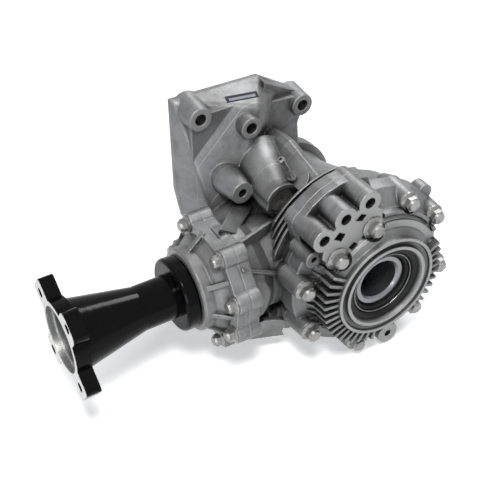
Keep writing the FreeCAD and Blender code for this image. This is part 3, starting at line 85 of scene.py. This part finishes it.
# --------------------------------------------------------------------------------------
# finishes
# --------------------------------------------------------------------------------------
class Graph:
    """Short names for the shader nodes of one material."""

    def __init__(self, name: str) -> None:
        """Starts an empty material.

        Args:
            name: name of the material.
        """
        self.material = bpy.data.materials.new(name)
        self.material.use_nodes = True
        self.tree = self.material.node_tree
        self.tree.nodes.clear()
        self.output = self.tree.nodes.new("ShaderNodeOutputMaterial")
        self.shader = self.tree.nodes.new("ShaderNodeBsdfPrincipled")
        self.join(self.shader.outputs["BSDF"], self.output.inputs["Surface"])
        self.place = self.tree.nodes.new("ShaderNodeTexCoord").outputs["Object"]

    def join(self, source: bpy.types.NodeSocket, target: bpy.types.NodeSocket) -> None:
        """Links two sockets."""
        self.tree.links.new(source, target)

    def feed(self, socket: bpy.types.NodeSocket, value: object) -> None:
        """Links a socket, or sets a constant on it.

        Args:
            socket: input to fill.
            value: another node's output, or a number or colour.
        """
        if isinstance(value, bpy.types.NodeSocket):
            self.join(value, socket)
        else:
            socket.default_value = value

    def noise(self, scale: float, detail: float = 3.0, rough: float = 0.55,
              vector: Optional[bpy.types.NodeSocket] = None) -> bpy.types.NodeSocket:
        """Noise over object coordinates.

        Args:
            scale: cells per metre.
            detail: number of finer octaves.
            rough: share that the finer octaves keep.
            vector: other coordinates to read.

        Returns:
            The grey value of the noise.
        """
        node = self.tree.nodes.new("ShaderNodeTexNoise")
        node.inputs["Scale"].default_value = scale
        node.inputs["Detail"].default_value = detail
        node.inputs["Roughness"].default_value = rough
        self.join(vector or self.place, node.inputs["Vector"])
        return node.outputs["Fac"]

    def stretched(self, scale: tuple[float, float, float]) -> bpy.types.NodeSocket:
        """Object coordinates stretched along the axes."""
        node = self.tree.nodes.new("ShaderNodeMapping")
        node.inputs["Scale"].default_value = scale
        self.join(self.place, node.inputs["Vector"])
        return node.outputs["Vector"]

    def ramp(self, value: bpy.types.NodeSocket, low: float, high: float,
             to_low: float = 0.0, to_high: float = 1.0) -> bpy.types.NodeSocket:
        """Smooth step of a value.

        Args:
            value: value to read.
            low: value that gives to_low.
            high: value that gives to_high.
            to_low: result at low.
            to_high: result at high.

        Returns:
            The mapped value.
        """
        node = self.tree.nodes.new("ShaderNodeMapRange")
        node.interpolation_type = "SMOOTHSTEP"
        for socket, number in zip(node.inputs[1:5], (low, high, to_low, to_high)):
            socket.default_value = number
        self.join(value, node.inputs[0])
        return node.outputs[0]

    def maths(self, operation: str, first: object, second: object = 0.0) -> bpy.types.NodeSocket:
        """One arithmetic node.

        Args:
            operation: name of the operation.
            first: first value.
            second: second value.

        Returns:
            The result.
        """
        node = self.tree.nodes.new("ShaderNodeMath")
        node.operation = operation
        self.feed(node.inputs[0], first)
        self.feed(node.inputs[1], second)
        return node.outputs[0]

    def mix(self, share: object, first: object, second: object) -> bpy.types.NodeSocket:
        """Mix of two colours.

        Args:
            share: 0 for the first colour, 1 for the second.
            first: first colour.
            second: second colour.

        Returns:
            The mixed colour.
        """
        node = self.tree.nodes.new("ShaderNodeMix")
        node.data_type = "RGBA"
        self.feed(node.inputs[0], share)
        self.feed(node.inputs[6], first)
        self.feed(node.inputs[7], second)
        return node.outputs[2]

    def axis_value(self, index: int) -> bpy.types.NodeSocket:
        """One object coordinate, 0 for X, 1 for Y and 2 for Z."""
        node = self.tree.nodes.new("ShaderNodeSeparateXYZ")
        self.join(self.place, node.inputs[0])
        return node.outputs[index]

    def distance_from(self, index: int, centre: tuple[float, float]) -> bpy.types.NodeSocket:
        """Distance from a line along one axis.

        Args:
            index: axis that the line runs along.
            centre: the two other coordinates of the line.

        Returns:
            Distance in metres.
        """
        others = [i for i in range(3) if i != index]
        squares = []
        for other, middle in zip(others, centre):
            away = self.maths("SUBTRACT", self.axis_value(other), middle)
            squares.append(self.maths("MULTIPLY", away, away))
        return self.maths("SQRT", self.maths("ADD", squares[0], squares[1]))

    def band(self, value: bpy.types.NodeSocket, middle: float, half: float) -> bpy.types.NodeSocket:
        """1 where a value lies within half of the middle, else 0."""
        away = self.maths("ABSOLUTE", self.maths("SUBTRACT", value, middle))
        return self.maths("LESS_THAN", away, half)

    def rounded(self, radius: float) -> bpy.types.NodeSocket:
        """Normal that softens every edge of a casting.

        Args:
            radius: radius of the edges in metres.

        Returns:
            The softened normal.
        """
        node = self.tree.nodes.new("ShaderNodeBevel")
        node.samples = 4
        node.inputs["Radius"].default_value = radius
        return node.outputs["Normal"]

    def turned_by(self, normal: bpy.types.NodeSocket) -> bpy.types.NodeSocket:
        """How far a softened normal leans away from the true one.

        Args:
            normal: softened normal.

        Returns:
            0 on flats and up to 1 at edges.
        """
        node = self.tree.nodes.new("ShaderNodeVectorMath")
        node.operation = "DOT_PRODUCT"
        self.join(normal, node.inputs[0])
        self.join(self.tree.nodes.new("ShaderNodeNewGeometry").outputs["True Normal"], node.inputs[1])
        return self.maths("SUBTRACT", 1.0, node.outputs["Value"])

    def bump(self, height: bpy.types.NodeSocket, depth: float, strength: float,
             normal: Optional[bpy.types.NodeSocket] = None) -> bpy.types.NodeSocket:
        """Bump from a height.

        Args:
            height: height between 0 and 1.
            depth: what a height of 1 is in metres.
            strength: share of the bump that is used.
            normal: normal to start from.

        Returns:
            The bumped normal.
        """
        node = self.tree.nodes.new("ShaderNodeBump")
        node.inputs["Strength"].default_value = strength
        node.inputs["Distance"].default_value = depth
        self.join(height, node.inputs["Height"])
        if normal is not None:
            self.join(normal, node.inputs["Normal"])
        return node.outputs["Normal"]

    def crevices(self, reach: float) -> bpy.types.NodeSocket:
        """1 in the open and towards 0 in narrow corners.

        Args:
            reach: how far walls are looked for, in metres.

        Returns:
            Openness from 0 to 1.
        """
        node = self.tree.nodes.new("ShaderNodeAmbientOcclusion")
        node.samples = 6
        node.inputs["Distance"].default_value = reach
        return node.outputs["AO"]


@dataclass(frozen=True)
class Finish:
    """A surface finish that can make its own material."""

    name: str = "plain"

    def material(self) -> bpy.types.Material:
        """Builds the material once and gives it back."""
        name = "finish_" + self.name
        return bpy.data.materials.get(name) or self.make(Graph(name))

    def make(self, graph: Graph) -> bpy.types.Material:
        """Fills the graph.

        Args:
            graph: empty graph of the new material.

        Returns:
            The finished material.
        """
        return graph.material


@dataclass(frozen=True)
class MachinedPlane:
    """A face that was milled after casting: an axis, its level and how far it reaches."""

    axis: Along
    level: float
    half: float = 0.0002


@dataclass(frozen=True)
class CastAluminium(Finish):
    """Die-cast aluminium: fine skin, faint stains, bright edges that are partly wear and partly painted
    highlight, painted shade in corners and bright milled faces.
    """

    name: str = "cast_aluminium"
    light: tuple[float, float, float, float] = (0.205, 0.208, 0.212, 1.0)
    dull: tuple[float, float, float, float] = (0.098, 0.097, 0.096, 1.0)
    # painted shade: near-black colour that corners and narrow recesses darken towards
    painted_crevice_shade: tuple[float, float, float, float] = (0.012, 0.0115, 0.011, 1.0)
    # worn: bright colour of open edges, partly edge wear and partly painted highlight
    worn: tuple[float, float, float, float] = (0.50, 0.50, 0.49, 1.0)
    milled: tuple[float, float, float, float] = (0.27, 0.27, 0.27, 1.0)
    edge: float = 0.0022
    planes: tuple[MachinedPlane, ...] = ()

    def make(self, graph: Graph) -> bpy.types.Material:
        """Fills the graph of the casting."""
        clouds = graph.ramp(graph.noise(22.0, 4.0, 0.6), 0.36, 0.68)
        spots = graph.ramp(graph.noise(130.0, 5.0, 0.65), 0.42, 0.72)
        grain = graph.noise(900.0, 3.0, 0.6)
        colour = graph.mix(graph.maths("MULTIPLY", clouds, 0.75), self.light, self.dull)
        colour = graph.mix(graph.maths("MULTIPLY", spots, 0.28), colour, self.dull)
        open_air = graph.crevices(0.016)
        soft = graph.rounded(self.edge)
        # Painted highlight and wear: open convex edges, spotted at random, lighten towards the bright worn
        # colour, partly as edge wear and partly as painted edge highlight.
        edges = graph.maths("MULTIPLY", graph.ramp(graph.turned_by(soft), 0.02, 0.22),
                            graph.ramp(open_air, 0.60, 0.85))
        rubbed_and_highlit = graph.maths("MULTIPLY", edges, graph.ramp(spots, 0.0, 1.0, 0.35, 0.8))
        colour = graph.mix(rubbed_and_highlit, colour, self.worn)
        # Painted shade: ambient occlusion darkens corners and narrow recesses towards near black.
        colour = graph.mix(graph.ramp(open_air, 0.30, 0.95, 0.9, 0.0), colour, self.painted_crevice_shade)
        rough = graph.ramp(grain, 0.3, 0.7, 0.40, 0.54)
        mask = None
        for plane in self.planes:
            flat = graph.band(graph.axis_value(plane.axis), plane.level, plane.half)
            mask = flat if mask is None else graph.maths("MAXIMUM", mask, flat)
        if mask is not None:
            colour = graph.mix(mask, colour, self.milled)
        shader = graph.shader
        graph.join(colour, shader.inputs["Base Color"])
        graph.join(rough, shader.inputs["Roughness"])
        shader.inputs["Metallic"].default_value = 0.78
        height = graph.maths("ADD", graph.maths("MULTIPLY", grain, 0.6), graph.maths("MULTIPLY", spots, 0.4))
        graph.join(graph.bump(height, 0.0005, 0.55, soft), shader.inputs["Normal"])
        return graph.material


@dataclass(frozen=True)
class PlatedSteel(Finish):
    """Zinc plated or phosphated steel of bolts and plugs."""

    name: str = "zinc_plate"
    colour: tuple[float, float, float, float] = (0.27, 0.27, 0.265, 1.0)
    worn: tuple[float, float, float, float] = (0.12, 0.115, 0.11, 1.0)
    rough: float = 0.34
    edge: float = 0.0004

    def make(self, graph: Graph) -> bpy.types.Material:
        """Fills the graph of the plating."""
        cloud = graph.ramp(graph.noise(160.0, 4.0, 0.6), 0.40, 0.70)
        fine = graph.noise(1400.0, 2.0)
        colour = graph.mix(graph.maths("MULTIPLY", cloud, 0.6), self.colour, self.worn)
        # Painted shade: ambient occlusion darkens corners and crevices of the plating towards dark brown.
        corner = graph.ramp(graph.crevices(0.004), 0.3, 0.8, 0.7, 0.0)
        colour = graph.mix(corner, colour, (0.06, 0.05, 0.045, 1.0))
        graph.join(colour, graph.shader.inputs["Base Color"])
        graph.join(graph.ramp(fine, 0.3, 0.7, self.rough - 0.06, self.rough + 0.08),
                   graph.shader.inputs["Roughness"])
        graph.shader.inputs["Metallic"].default_value = 0.85
        graph.join(graph.bump(fine, 0.0001, 0.3, graph.rounded(self.edge)), graph.shader.inputs["Normal"])
        return graph.material


@dataclass(frozen=True)
class TurnedSteel(Finish):
    """Ground or turned steel with fine rings about its axis."""

    name: str = "ground_steel"
    colour: tuple[float, float, float, float] = (0.20, 0.205, 0.215, 1.0)
    along: Along = Along.SHAFT
    rough: float = 0.24

    def make(self, graph: Graph) -> bpy.types.Material:
        """Fills the graph of the turned surface."""
        radius = graph.distance_from(self.along, (0.0, 0.0))
        station = graph.axis_value(self.along)
        node = graph.tree.nodes.new("ShaderNodeCombineXYZ")
        graph.join(radius, node.inputs[0])
        graph.join(station, node.inputs[1])
        rings = graph.noise(2600.0, 2.0, 0.5, node.outputs[0])
        cloud = graph.ramp(graph.noise(90.0, 3.0), 0.42, 0.7)
        darker = tuple(0.72 * c for c in self.colour[:3]) + (1.0,)
        graph.join(graph.mix(graph.maths("MULTIPLY", cloud, 0.5), self.colour, darker),
                   graph.shader.inputs["Base Color"])
        graph.join(graph.ramp(rings, 0.3, 0.7, self.rough - 0.06, self.rough + 0.10),
                   graph.shader.inputs["Roughness"])
        graph.shader.inputs["Metallic"].default_value = 0.9
        graph.join(graph.bump(rings, 0.00005, 0.25), graph.shader.inputs["Normal"])
        return graph.material


@dataclass(frozen=True)
class GlossBlack(Finish):
    """Thick black paint of the output flange, left off its machined face and bore."""

    name: str = "gloss_black"
    face_y: float = -0.3077
    bore_r: float = 0.0352
    bore_from_y: float = -0.2925

    def make(self, graph: Graph) -> bpy.types.Material:
        """Fills the graph of the paint and of the bare metal."""
        drift = graph.noise(35.0, 3.0)
        dust = graph.ramp(graph.noise(240.0, 4.0, 0.6), 0.55, 0.78)
        paint = graph.mix(graph.maths("MULTIPLY", dust, 0.25), (0.002, 0.002, 0.0024, 1.0),
                          (0.010, 0.0097, 0.0095, 1.0))
        station = graph.axis_value(1)
        on_face = graph.band(station, self.face_y, 0.00025)
        inside = graph.maths("LESS_THAN", graph.distance_from(1, (0.0, 0.0)), self.bore_r)
        outer = graph.maths("LESS_THAN", station, self.bore_from_y)
        bare = graph.maths("MAXIMUM", on_face, graph.maths("MULTIPLY", inside, outer))
        scratch = graph.noise(420.0, 4.0, 0.6, graph.stretched((1.0, 1.0, 5.0)))
        metal = graph.mix(graph.ramp(scratch, 0.35, 0.7), (0.50, 0.50, 0.50, 1.0), (0.27, 0.27, 0.265, 1.0))
        graph.join(graph.mix(bare, paint, metal), graph.shader.inputs["Base Color"])
        gloss = graph.ramp(drift, 0.3, 0.7, 0.10, 0.19)
        dull = graph.ramp(scratch, 0.3, 0.7, 0.26, 0.42)
        blend = graph.maths("ADD", graph.maths("MULTIPLY", dull, bare),
                            graph.maths("MULTIPLY", gloss, graph.maths("SUBTRACT", 1.0, bare)))
        graph.join(blend, graph.shader.inputs["Roughness"])
        graph.join(graph.maths("MULTIPLY", bare, 0.9), graph.shader.inputs["Metallic"])
        graph.shader.inputs["Specular IOR Level"].default_value = 0.07
        graph.join(graph.bump(graph.noise(55.0, 2.0), 0.0006, 0.35, graph.rounded(0.0008)),
                   graph.shader.inputs["Normal"])
        return graph.material


@dataclass(frozen=True)
class Moulded(Finish):
    """Black rubber or plastic."""

    name: str = "seal_rubber"
    colour: tuple[float, float, float, float] = (0.007, 0.007, 0.007, 1.0)
    rough: float = 0.44

    def make(self, graph: Graph) -> bpy.types.Material:
        """Fills the graph of the rubber."""
        bloom = graph.ramp(graph.noise(150.0, 4.0, 0.6), 0.45, 0.75)
        lighter = tuple(2.6 * c for c in self.colour[:3]) + (1.0,)
        graph.join(graph.mix(graph.maths("MULTIPLY", bloom, 0.5), self.colour, lighter),
                   graph.shader.inputs["Base Color"])
        grain = graph.noise(1800.0, 2.0)
        graph.join(graph.ramp(grain, 0.3, 0.7, self.rough - 0.05, self.rough + 0.08),
                   graph.shader.inputs["Roughness"])
        graph.shader.inputs["Specular IOR Level"].default_value = 0.16
        graph.join(graph.bump(grain, 0.0001, 0.3, graph.rounded(0.0005)), graph.shader.inputs["Normal"])
        return graph.material


# --------------------------------------------------------------------------------------
# hand tools for new pieces
# --------------------------------------------------------------------------------------
class Bench:
    """Operators on one piece at a time, with selections made by place."""

    @staticmethod
    def clear() -> None:
        """Leaves edit mode and deselects everything."""
        if bpy.context.object is not None and bpy.context.object.mode != "OBJECT":
            bpy.ops.object.mode_set(mode="OBJECT")
        bpy.ops.object.select_all(action="DESELECT")

    @staticmethod
    def adopt(name: str) -> bpy.types.Object:
        """Names the piece that was just added."""
        piece = bpy.context.object
        piece.name = name
        piece.data.name = name
        return piece

    @staticmethod
    def facing(axis: Axis) -> tuple[float, float, float]:
        """Turn that lays a primitive's own Z along an axis."""
        return tuple(Vector(axis.value).to_track_quat("Z", "Y").to_euler())

    @staticmethod
    def pick(piece: bpy.types.Object, test: Callable[[Vector], bool]) -> None:
        """Selects the vertices whose place passes a test, in edit mode.

        Args:
            piece: piece in object mode.
            test: takes a place in metres.
        """
        bpy.ops.object.mode_set(mode="EDIT")
        bpy.ops.mesh.select_mode(type="VERT")
        bpy.ops.mesh.select_all(action="DESELECT")
        bpy.ops.object.mode_set(mode="OBJECT")
        for vertex in piece.data.vertices:
            vertex.select = test(piece.matrix_world @ vertex.co)
        bpy.ops.object.mode_set(mode="EDIT")

    @staticmethod
    def settle(piece: bpy.types.Object) -> bpy.types.Object:
        """Applies modifiers and place, so that the piece's object sits at the origin."""
        Bench.clear()
        piece.select_set(True)
        bpy.context.view_layer.objects.active = piece
        for modifier in list(piece.modifiers):
            bpy.ops.object.modifier_apply(modifier=modifier.name)
        bpy.ops.object.transform_apply(location=True, rotation=True, scale=True)
        bpy.ops.object.mode_set(mode="EDIT")
        bpy.ops.mesh.select_all(action="SELECT")
        bpy.ops.mesh.remove_doubles(threshold=0.000005)
        bpy.ops.mesh.normals_make_consistent(inside=False)
        bpy.ops.object.mode_set(mode="OBJECT")
        bpy.ops.object.shade_smooth_by_angle(angle=math.radians(35.0))
        piece.select_set(False)
        return piece

    @staticmethod
    def finish(piece: bpy.types.Object, finish: Finish, body: Body, slot: str) -> None:
        """Dresses a finished piece and lets it ride on a body.

        Args:
            piece: the settled piece.
            finish: its surface.
            body: body that carries it.
            slot: the record's material slot; not used.
        """
        piece.data.materials.clear()
        piece.data.materials.append(finish.material())
        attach(piece, body.value)
        LOG.info("piece %s: %d faces on %s", piece.name, len(piece.data.polygons), body.value)


def dress(nodes: Iterable[str], finish: Finish) -> None:
    """Gives carried-over nodes a finish.

    Args:
        nodes: names of the nodes.
        finish: their surface.
    """
    for node in nodes:
        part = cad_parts[node]
        if not part.material_slots:
            part.data.materials.append(None)
        for holder in part.material_slots:
            holder.link = "OBJECT"
            holder.material = finish.material()
        LOG.info("node %s: finish %s", node, finish.name)


# --------------------------------------------------------------------------------------
# sub-assemblies
# --------------------------------------------------------------------------------------
@dataclass
class Castings:
    """Main case, transfer cover and adapter case."""

    cover_faces: tuple[float, ...] = (0.087, 0.079, 0.090)
    case_faces: tuple[float, ...] = (-0.058, -0.072, -0.0299)
    adapter_seat_y: float = -0.150

    def build(self) -> None:
        """Dresses the three castings, each with its own milled faces."""
        cover_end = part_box("transfer_cover")[1].x
        self.cast("transfer_cover", "cover_casting", Along.SHAFT, (cover_end, *self.cover_faces))
        gearbox_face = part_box("main_case")[0].x
        self.cast("main_case", "case_casting", Along.SHAFT, (*self.case_faces, gearbox_face))
        nose_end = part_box("adapter_case")[0].y
        self.cast("adapter_case", "adapter_casting", Along.PINION, (nose_end, self.adapter_seat_y))

    def cast(self, node: str, name: str, axis: Along, levels: tuple[float, ...]) -> None:
        """Dresses one casting.

        Args:
            node: name of its node.
            name: name of its finish.
            axis: coordinate that its milled faces are level in.
            levels: where those faces lie, in metres.
        """
        planes = tuple(MachinedPlane(axis, level) for level in levels)
        dress([node], CastAluminium(name=name, planes=planes))


@dataclass
class Fasteners:
    """Bolts, plugs and the breather."""

    bolts: tuple[str, ...] = ("cover_bolts", "plateau_bolts", "adapter_bolts", "pinion_washer",
                              "pinion_nut", "breather_tube")
    plugs: tuple[str, ...] = ("filler_plug", "drain_plug")

    def build(self) -> None:
        """Dresses the fasteners."""
        dress(self.bolts, PlatedSteel())
        dress(self.plugs, PlatedSteel(name="dark_plate", colour=(0.22, 0.215, 0.21, 1.0),
                                      worn=(0.11, 0.10, 0.095, 1.0), rough=0.42))
        dress(["drain_plug_gasket"], PlatedSteel(name="soft_washer", colour=(0.46, 0.46, 0.455, 1.0)))


@dataclass
class OutputLine:
    """Drive pinion, companion flange and what turns with them."""

    steel: tuple[str, ...] = ("drive_pinion", "collapsible_spacer")

    def build(self) -> None:
        """Dresses the pinion line."""
        face_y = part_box("companion_flange")[0].y
        dress(["companion_flange", "dust_shield"], GlossBlack(face_y=face_y))
        dress(self.steel, TurnedSteel(name="gear_steel", colour=GEAR_COLOUR, along=Along.PINION, rough=0.3))


@dataclass
class ShaftLine:
    """Ring gear, its hollow shaft and the bearings."""

    bearings: tuple[str, ...] = ("cover_bearing", "case_bearing", "pinion_head_bearing",
                                 "pinion_tail_bearing")

    def build(self) -> None:
        """Dresses the shaft line."""
        dress(["ring_gear_shaft"], TurnedSteel())
        dress(["ring_gear", "ring_gear_bolts"],
              TurnedSteel(name="ring_gear_steel", colour=GEAR_COLOUR, rough=0.3))
        dress(["pinion_shim"], TurnedSteel(name="shim_steel", along=Along.PINION))
        for bearing in self.bearings:
            along = Along.PINION if bearing.startswith("pinion") else Along.SHAFT
            dress([bearing + "_cup", bearing + "_cone", bearing + "_rollers"],
                  TurnedSteel(name=bearing + "_steel", along=along, rough=0.2))
            dress([bearing + "_cage"], PlatedSteel(name="cage_steel", colour=(0.5, 0.48, 0.45, 1.0)))


@dataclass
class Seals:
    """Oil seals with their garter spring."""

    nodes: tuple[str, ...] = ("cover_oil_seal", "input_oil_seal", "pinion_oil_seal", "adapter_o_ring")
    spring_r: float = 34.5 * MM
    spring_depth: float = 3.0 * MM
    wire_r: float = 0.75 * MM
    coils: int = 150
    valley_share: float = 0.35

    def build(self) -> None:
        """Dresses the seals and winds the spring of the large one."""
        dress(self.nodes, Moulded())
        outer_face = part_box("cover_oil_seal")[1].x
        centre = Vector((outer_face - self.spring_depth, 0.0, 0.0))
        Bench.finish(self.wind_spring(centre), TurnedSteel(name="spring_steel", rough=0.26), Body.HOUSING,
                     "ground_steel")

    def wind_spring(self, centre: Vector) -> bpy.types.Object:
        """Closed coil spring laid in a ring.

        Args:
            centre: middle of the ring.

        Returns:
            The spring.
        """
        Bench.clear()
        bpy.ops.mesh.primitive_torus_add(location=centre, rotation=Bench.facing(Axis.OUTBOARD),
                                         major_radius=self.spring_r, minor_radius=self.wire_r,
                                         major_segments=2 * self.coils, minor_segments=8)
        spring = Bench.adopt("garter_spring")
        step = math.pi / self.coils

        def in_valley(point: Vector) -> bool:
            """Tells every second ring of points round the circle."""
            angle = math.atan2(point.z, point.y)
            return round(angle / step) % 2 == 1

        Bench.pick(spring, in_valley)
        bpy.ops.transform.shrink_fatten(value=-self.valley_share * self.wire_r)
        return Bench.settle(spring)


@dataclass
class TypePlate:
    """Bare dark plate on the top band of the hood, with a dull grey panel."""

    corners: tuple[tuple[float, float, float], ...] = (
        (-0.0872, -0.0730, 0.1466), (-0.0836, -0.0380, 0.1443), (-0.0770, -0.0398, 0.1413))
    thickness: float = 0.4 * MM
    panel_shares: tuple[float, float] = (0.42, 0.86)
    panel_inset: float = 3.0 * MM
    panel_rise: float = 1.4

    def build(self) -> None:
        """Lays the plate and its panel on the hood."""
        Bench.finish(self.lay("type_plate", (0.0, 1.0), 0.0, self.thickness),
                     Moulded(name="plate_navy", colour=(0.004, 0.005, 0.013, 1.0), rough=0.42),
                     Body.HOUSING, "black_paint")
        panel_height = self.panel_rise * self.thickness
        Bench.finish(self.lay("type_plate_panel", self.panel_shares, self.panel_inset, panel_height),
                     Moulded(name="plate_panel", colour=(0.16, 0.165, 0.19, 1.0), rough=0.40),
                     Body.HOUSING, "zinc_steel")

    def lay(self, name: str, shares: tuple[float, float], inset: float, height: float) -> bpy.types.Object:
        """Models one flat layer of the plate.

        Args:
            name: name of the piece.
            shares: where the layer begins and ends across the plate.
            inset: how far it stays back from both ends.
            height: its thickness.

        Returns:
            The settled piece.
        """
        origin, far, near = (Vector(corner) for corner in self.corners)
        along = far - origin
        across = near - far
        across = across - along * across.dot(along) / along.length_squared
        middle = origin + along / 2 + across * sum(shares) / 2
        up = along.cross(across).normalized()
        if up.z < 0:
            up = -up
        turn = Matrix((along.normalized(), up.cross(along.normalized()), up)).transposed()
        Bench.clear()
        bpy.ops.mesh.primitive_cube_add(size=1.0, location=middle + up * height / 2,
                                        rotation=turn.to_euler())
        plate = Bench.adopt(name)
        plate.scale = (along.length - 2 * inset, across.length * (shares[1] - shares[0]), height)
        return Bench.settle(plate)


@dataclass
class Studio:
    """Floor, light and camera."""

    azimuth: float = 60.38
    elevation: float = 38.68
    roll: float = -1.47
    eye: tuple[float, float, float] = (0.65657, -0.48230, 0.64136)
    focal_px: float = 965.72
    frame_px: int = 480
    sensor: float = 36.0
    aim: tuple[float, float, float] = (0.0, -0.08, 0.03)
    floor_side: float = 6.0
    floor_gap: float = 0.002
    floor_glow: float = 0.42
    world_light: float = 0.20

    def build(self) -> None:
        """Sets floor, world, lamps and camera."""
        self.lay_floor()
        self.set_world()
        self.hang_lamps()
        self.set_camera()
        bpy.context.scene.view_settings.view_transform = "Standard"

    def lay_floor(self) -> None:
        """Plain pale floor just under the unit."""
        lowest = CAD_BOX[0][2]
        Bench.clear()
        bpy.ops.mesh.primitive_plane_add(size=self.floor_side, location=(0.0, 0.0, lowest - self.floor_gap))
        floor = Bench.adopt("floor")
        graph = Graph("floor_white")
        paths = graph.tree.nodes.new("ShaderNodeLightPath")
        seen = graph.maths("MAXIMUM", paths.outputs["Is Camera Ray"],
                           graph.maths("MAXIMUM", paths.outputs["Is Glossy Ray"],
                                       paths.outputs["Is Transmission Ray"]))
        graph.shader.inputs["Base Color"].default_value = (0.86, 0.86, 0.86, 1.0)
        graph.shader.inputs["Roughness"].default_value = 0.9
        graph.shader.inputs["Specular IOR Level"].default_value = 0.1
        graph.shader.inputs["Emission Color"].default_value = (1.0, 1.0, 1.0, 1.0)
        graph.join(graph.maths("MULTIPLY", seen, self.floor_glow), graph.shader.inputs["Emission Strength"])
        floor.data.materials.append(graph.material)

    def set_world(self) -> None:
        """White to the camera and in reflections, and a soft grey light otherwise."""
        world = bpy.data.worlds.new("studio")
        bpy.context.scene.world = world
        world.use_nodes = True
        tree = world.node_tree
        tree.nodes.clear()
        output = tree.nodes.new("ShaderNodeOutputWorld")
        light = tree.nodes.new("ShaderNodeBackground")
        light.inputs["Color"].default_value = (0.82, 0.89, 1.0, 1.0)
        light.inputs["Strength"].default_value = self.world_light
        seen = tree.nodes.new("ShaderNodeBackground")
        seen.inputs["Color"].default_value = (1.0, 1.0, 1.0, 1.0)
        paths = tree.nodes.new("ShaderNodeLightPath")
        either = tree.nodes.new("ShaderNodeMath")
        either.operation = "MAXIMUM"
        more = tree.nodes.new("ShaderNodeMath")
        more.operation = "MAXIMUM"
        mix = tree.nodes.new("ShaderNodeMixShader")
        tree.links.new(paths.outputs["Is Glossy Ray"], more.inputs[0])
        tree.links.new(paths.outputs["Is Transmission Ray"], more.inputs[1])
        tree.links.new(more.outputs[0], either.inputs[0])
        tree.links.new(paths.outputs["Is Camera Ray"], either.inputs[1])
        tree.links.new(either.outputs[0], mix.inputs[0])
        tree.links.new(light.outputs[0], mix.inputs[1])
        tree.links.new(seen.outputs[0], mix.inputs[2])
        tree.links.new(mix.outputs[0], output.inputs["Surface"])

    def hang_lamps(self) -> None:
        """A large key lamp outboard of the cover, a soft fill and a top light."""
        self.lamp("key_lamp", (0.60, -0.45, 1.20), 0.30, 19.0, (1.0, 0.99, 0.97))
        self.lamp("fill_lamp", (0.9, -0.9, 0.3), 0.5, 5.0, (0.93, 0.96, 1.0))
        self.lamp("top_lamp", (-0.5, 0.6, 1.1), 0.4, 10.0, (1.0, 1.0, 1.0))

    def lamp(self, name: str, place: tuple[float, float, float], size: float, watts: float,
             colour: tuple[float, float, float]) -> None:
        """One square area lamp aimed at the middle of the unit.

        Args:
            name: name of the lamp.
            place: where it hangs.
            size: side of the square.
            watts: its power.
            colour: its colour.
        """
        data = bpy.data.lights.new(name, "AREA")
        data.shape = "SQUARE"
        data.size = size
        data.energy = watts
        data.color = colour
        holder = bpy.data.objects.new(name, data)
        bpy.context.scene.collection.objects.link(holder)
        holder.location = place
        sight = Vector(self.aim) - Vector(place)
        holder.rotation_euler = sight.to_track_quat("-Z", "Y").to_euler()

    def set_camera(self) -> None:
        """Camera at the measured height and turn."""
        data = bpy.data.cameras.new("camera")
        data.sensor_width = self.sensor
        data.lens = self.focal_px / self.frame_px * self.sensor
        data.clip_start = 0.01
        camera = bpy.data.objects.new("camera", data)
        bpy.context.scene.collection.objects.link(camera)
        turn = (Matrix.Rotation(math.radians(self.azimuth), 4, "Z")
                @ Matrix.Rotation(math.radians(90.0 - self.elevation), 4, "X")
                @ Matrix.Rotation(math.radians(self.roll), 4, "Z"))
        camera.matrix_world = Matrix.Translation(Vector(self.eye)) @ turn
        bpy.context.scene.camera = camera


def main() -> None:
    """Builds every sub-assembly and the studio."""
    logging.basicConfig(level=logging.INFO, format="%(message)s")
    for assembly in (Castings(), Fasteners(), OutputLine(), ShaftLine(), Seals(), TypePlate(),
                     Studio()):
        LOG.info("assembly %s", type(assembly).__name__)
        assembly.build()


if __name__ == "__main__":
    main()
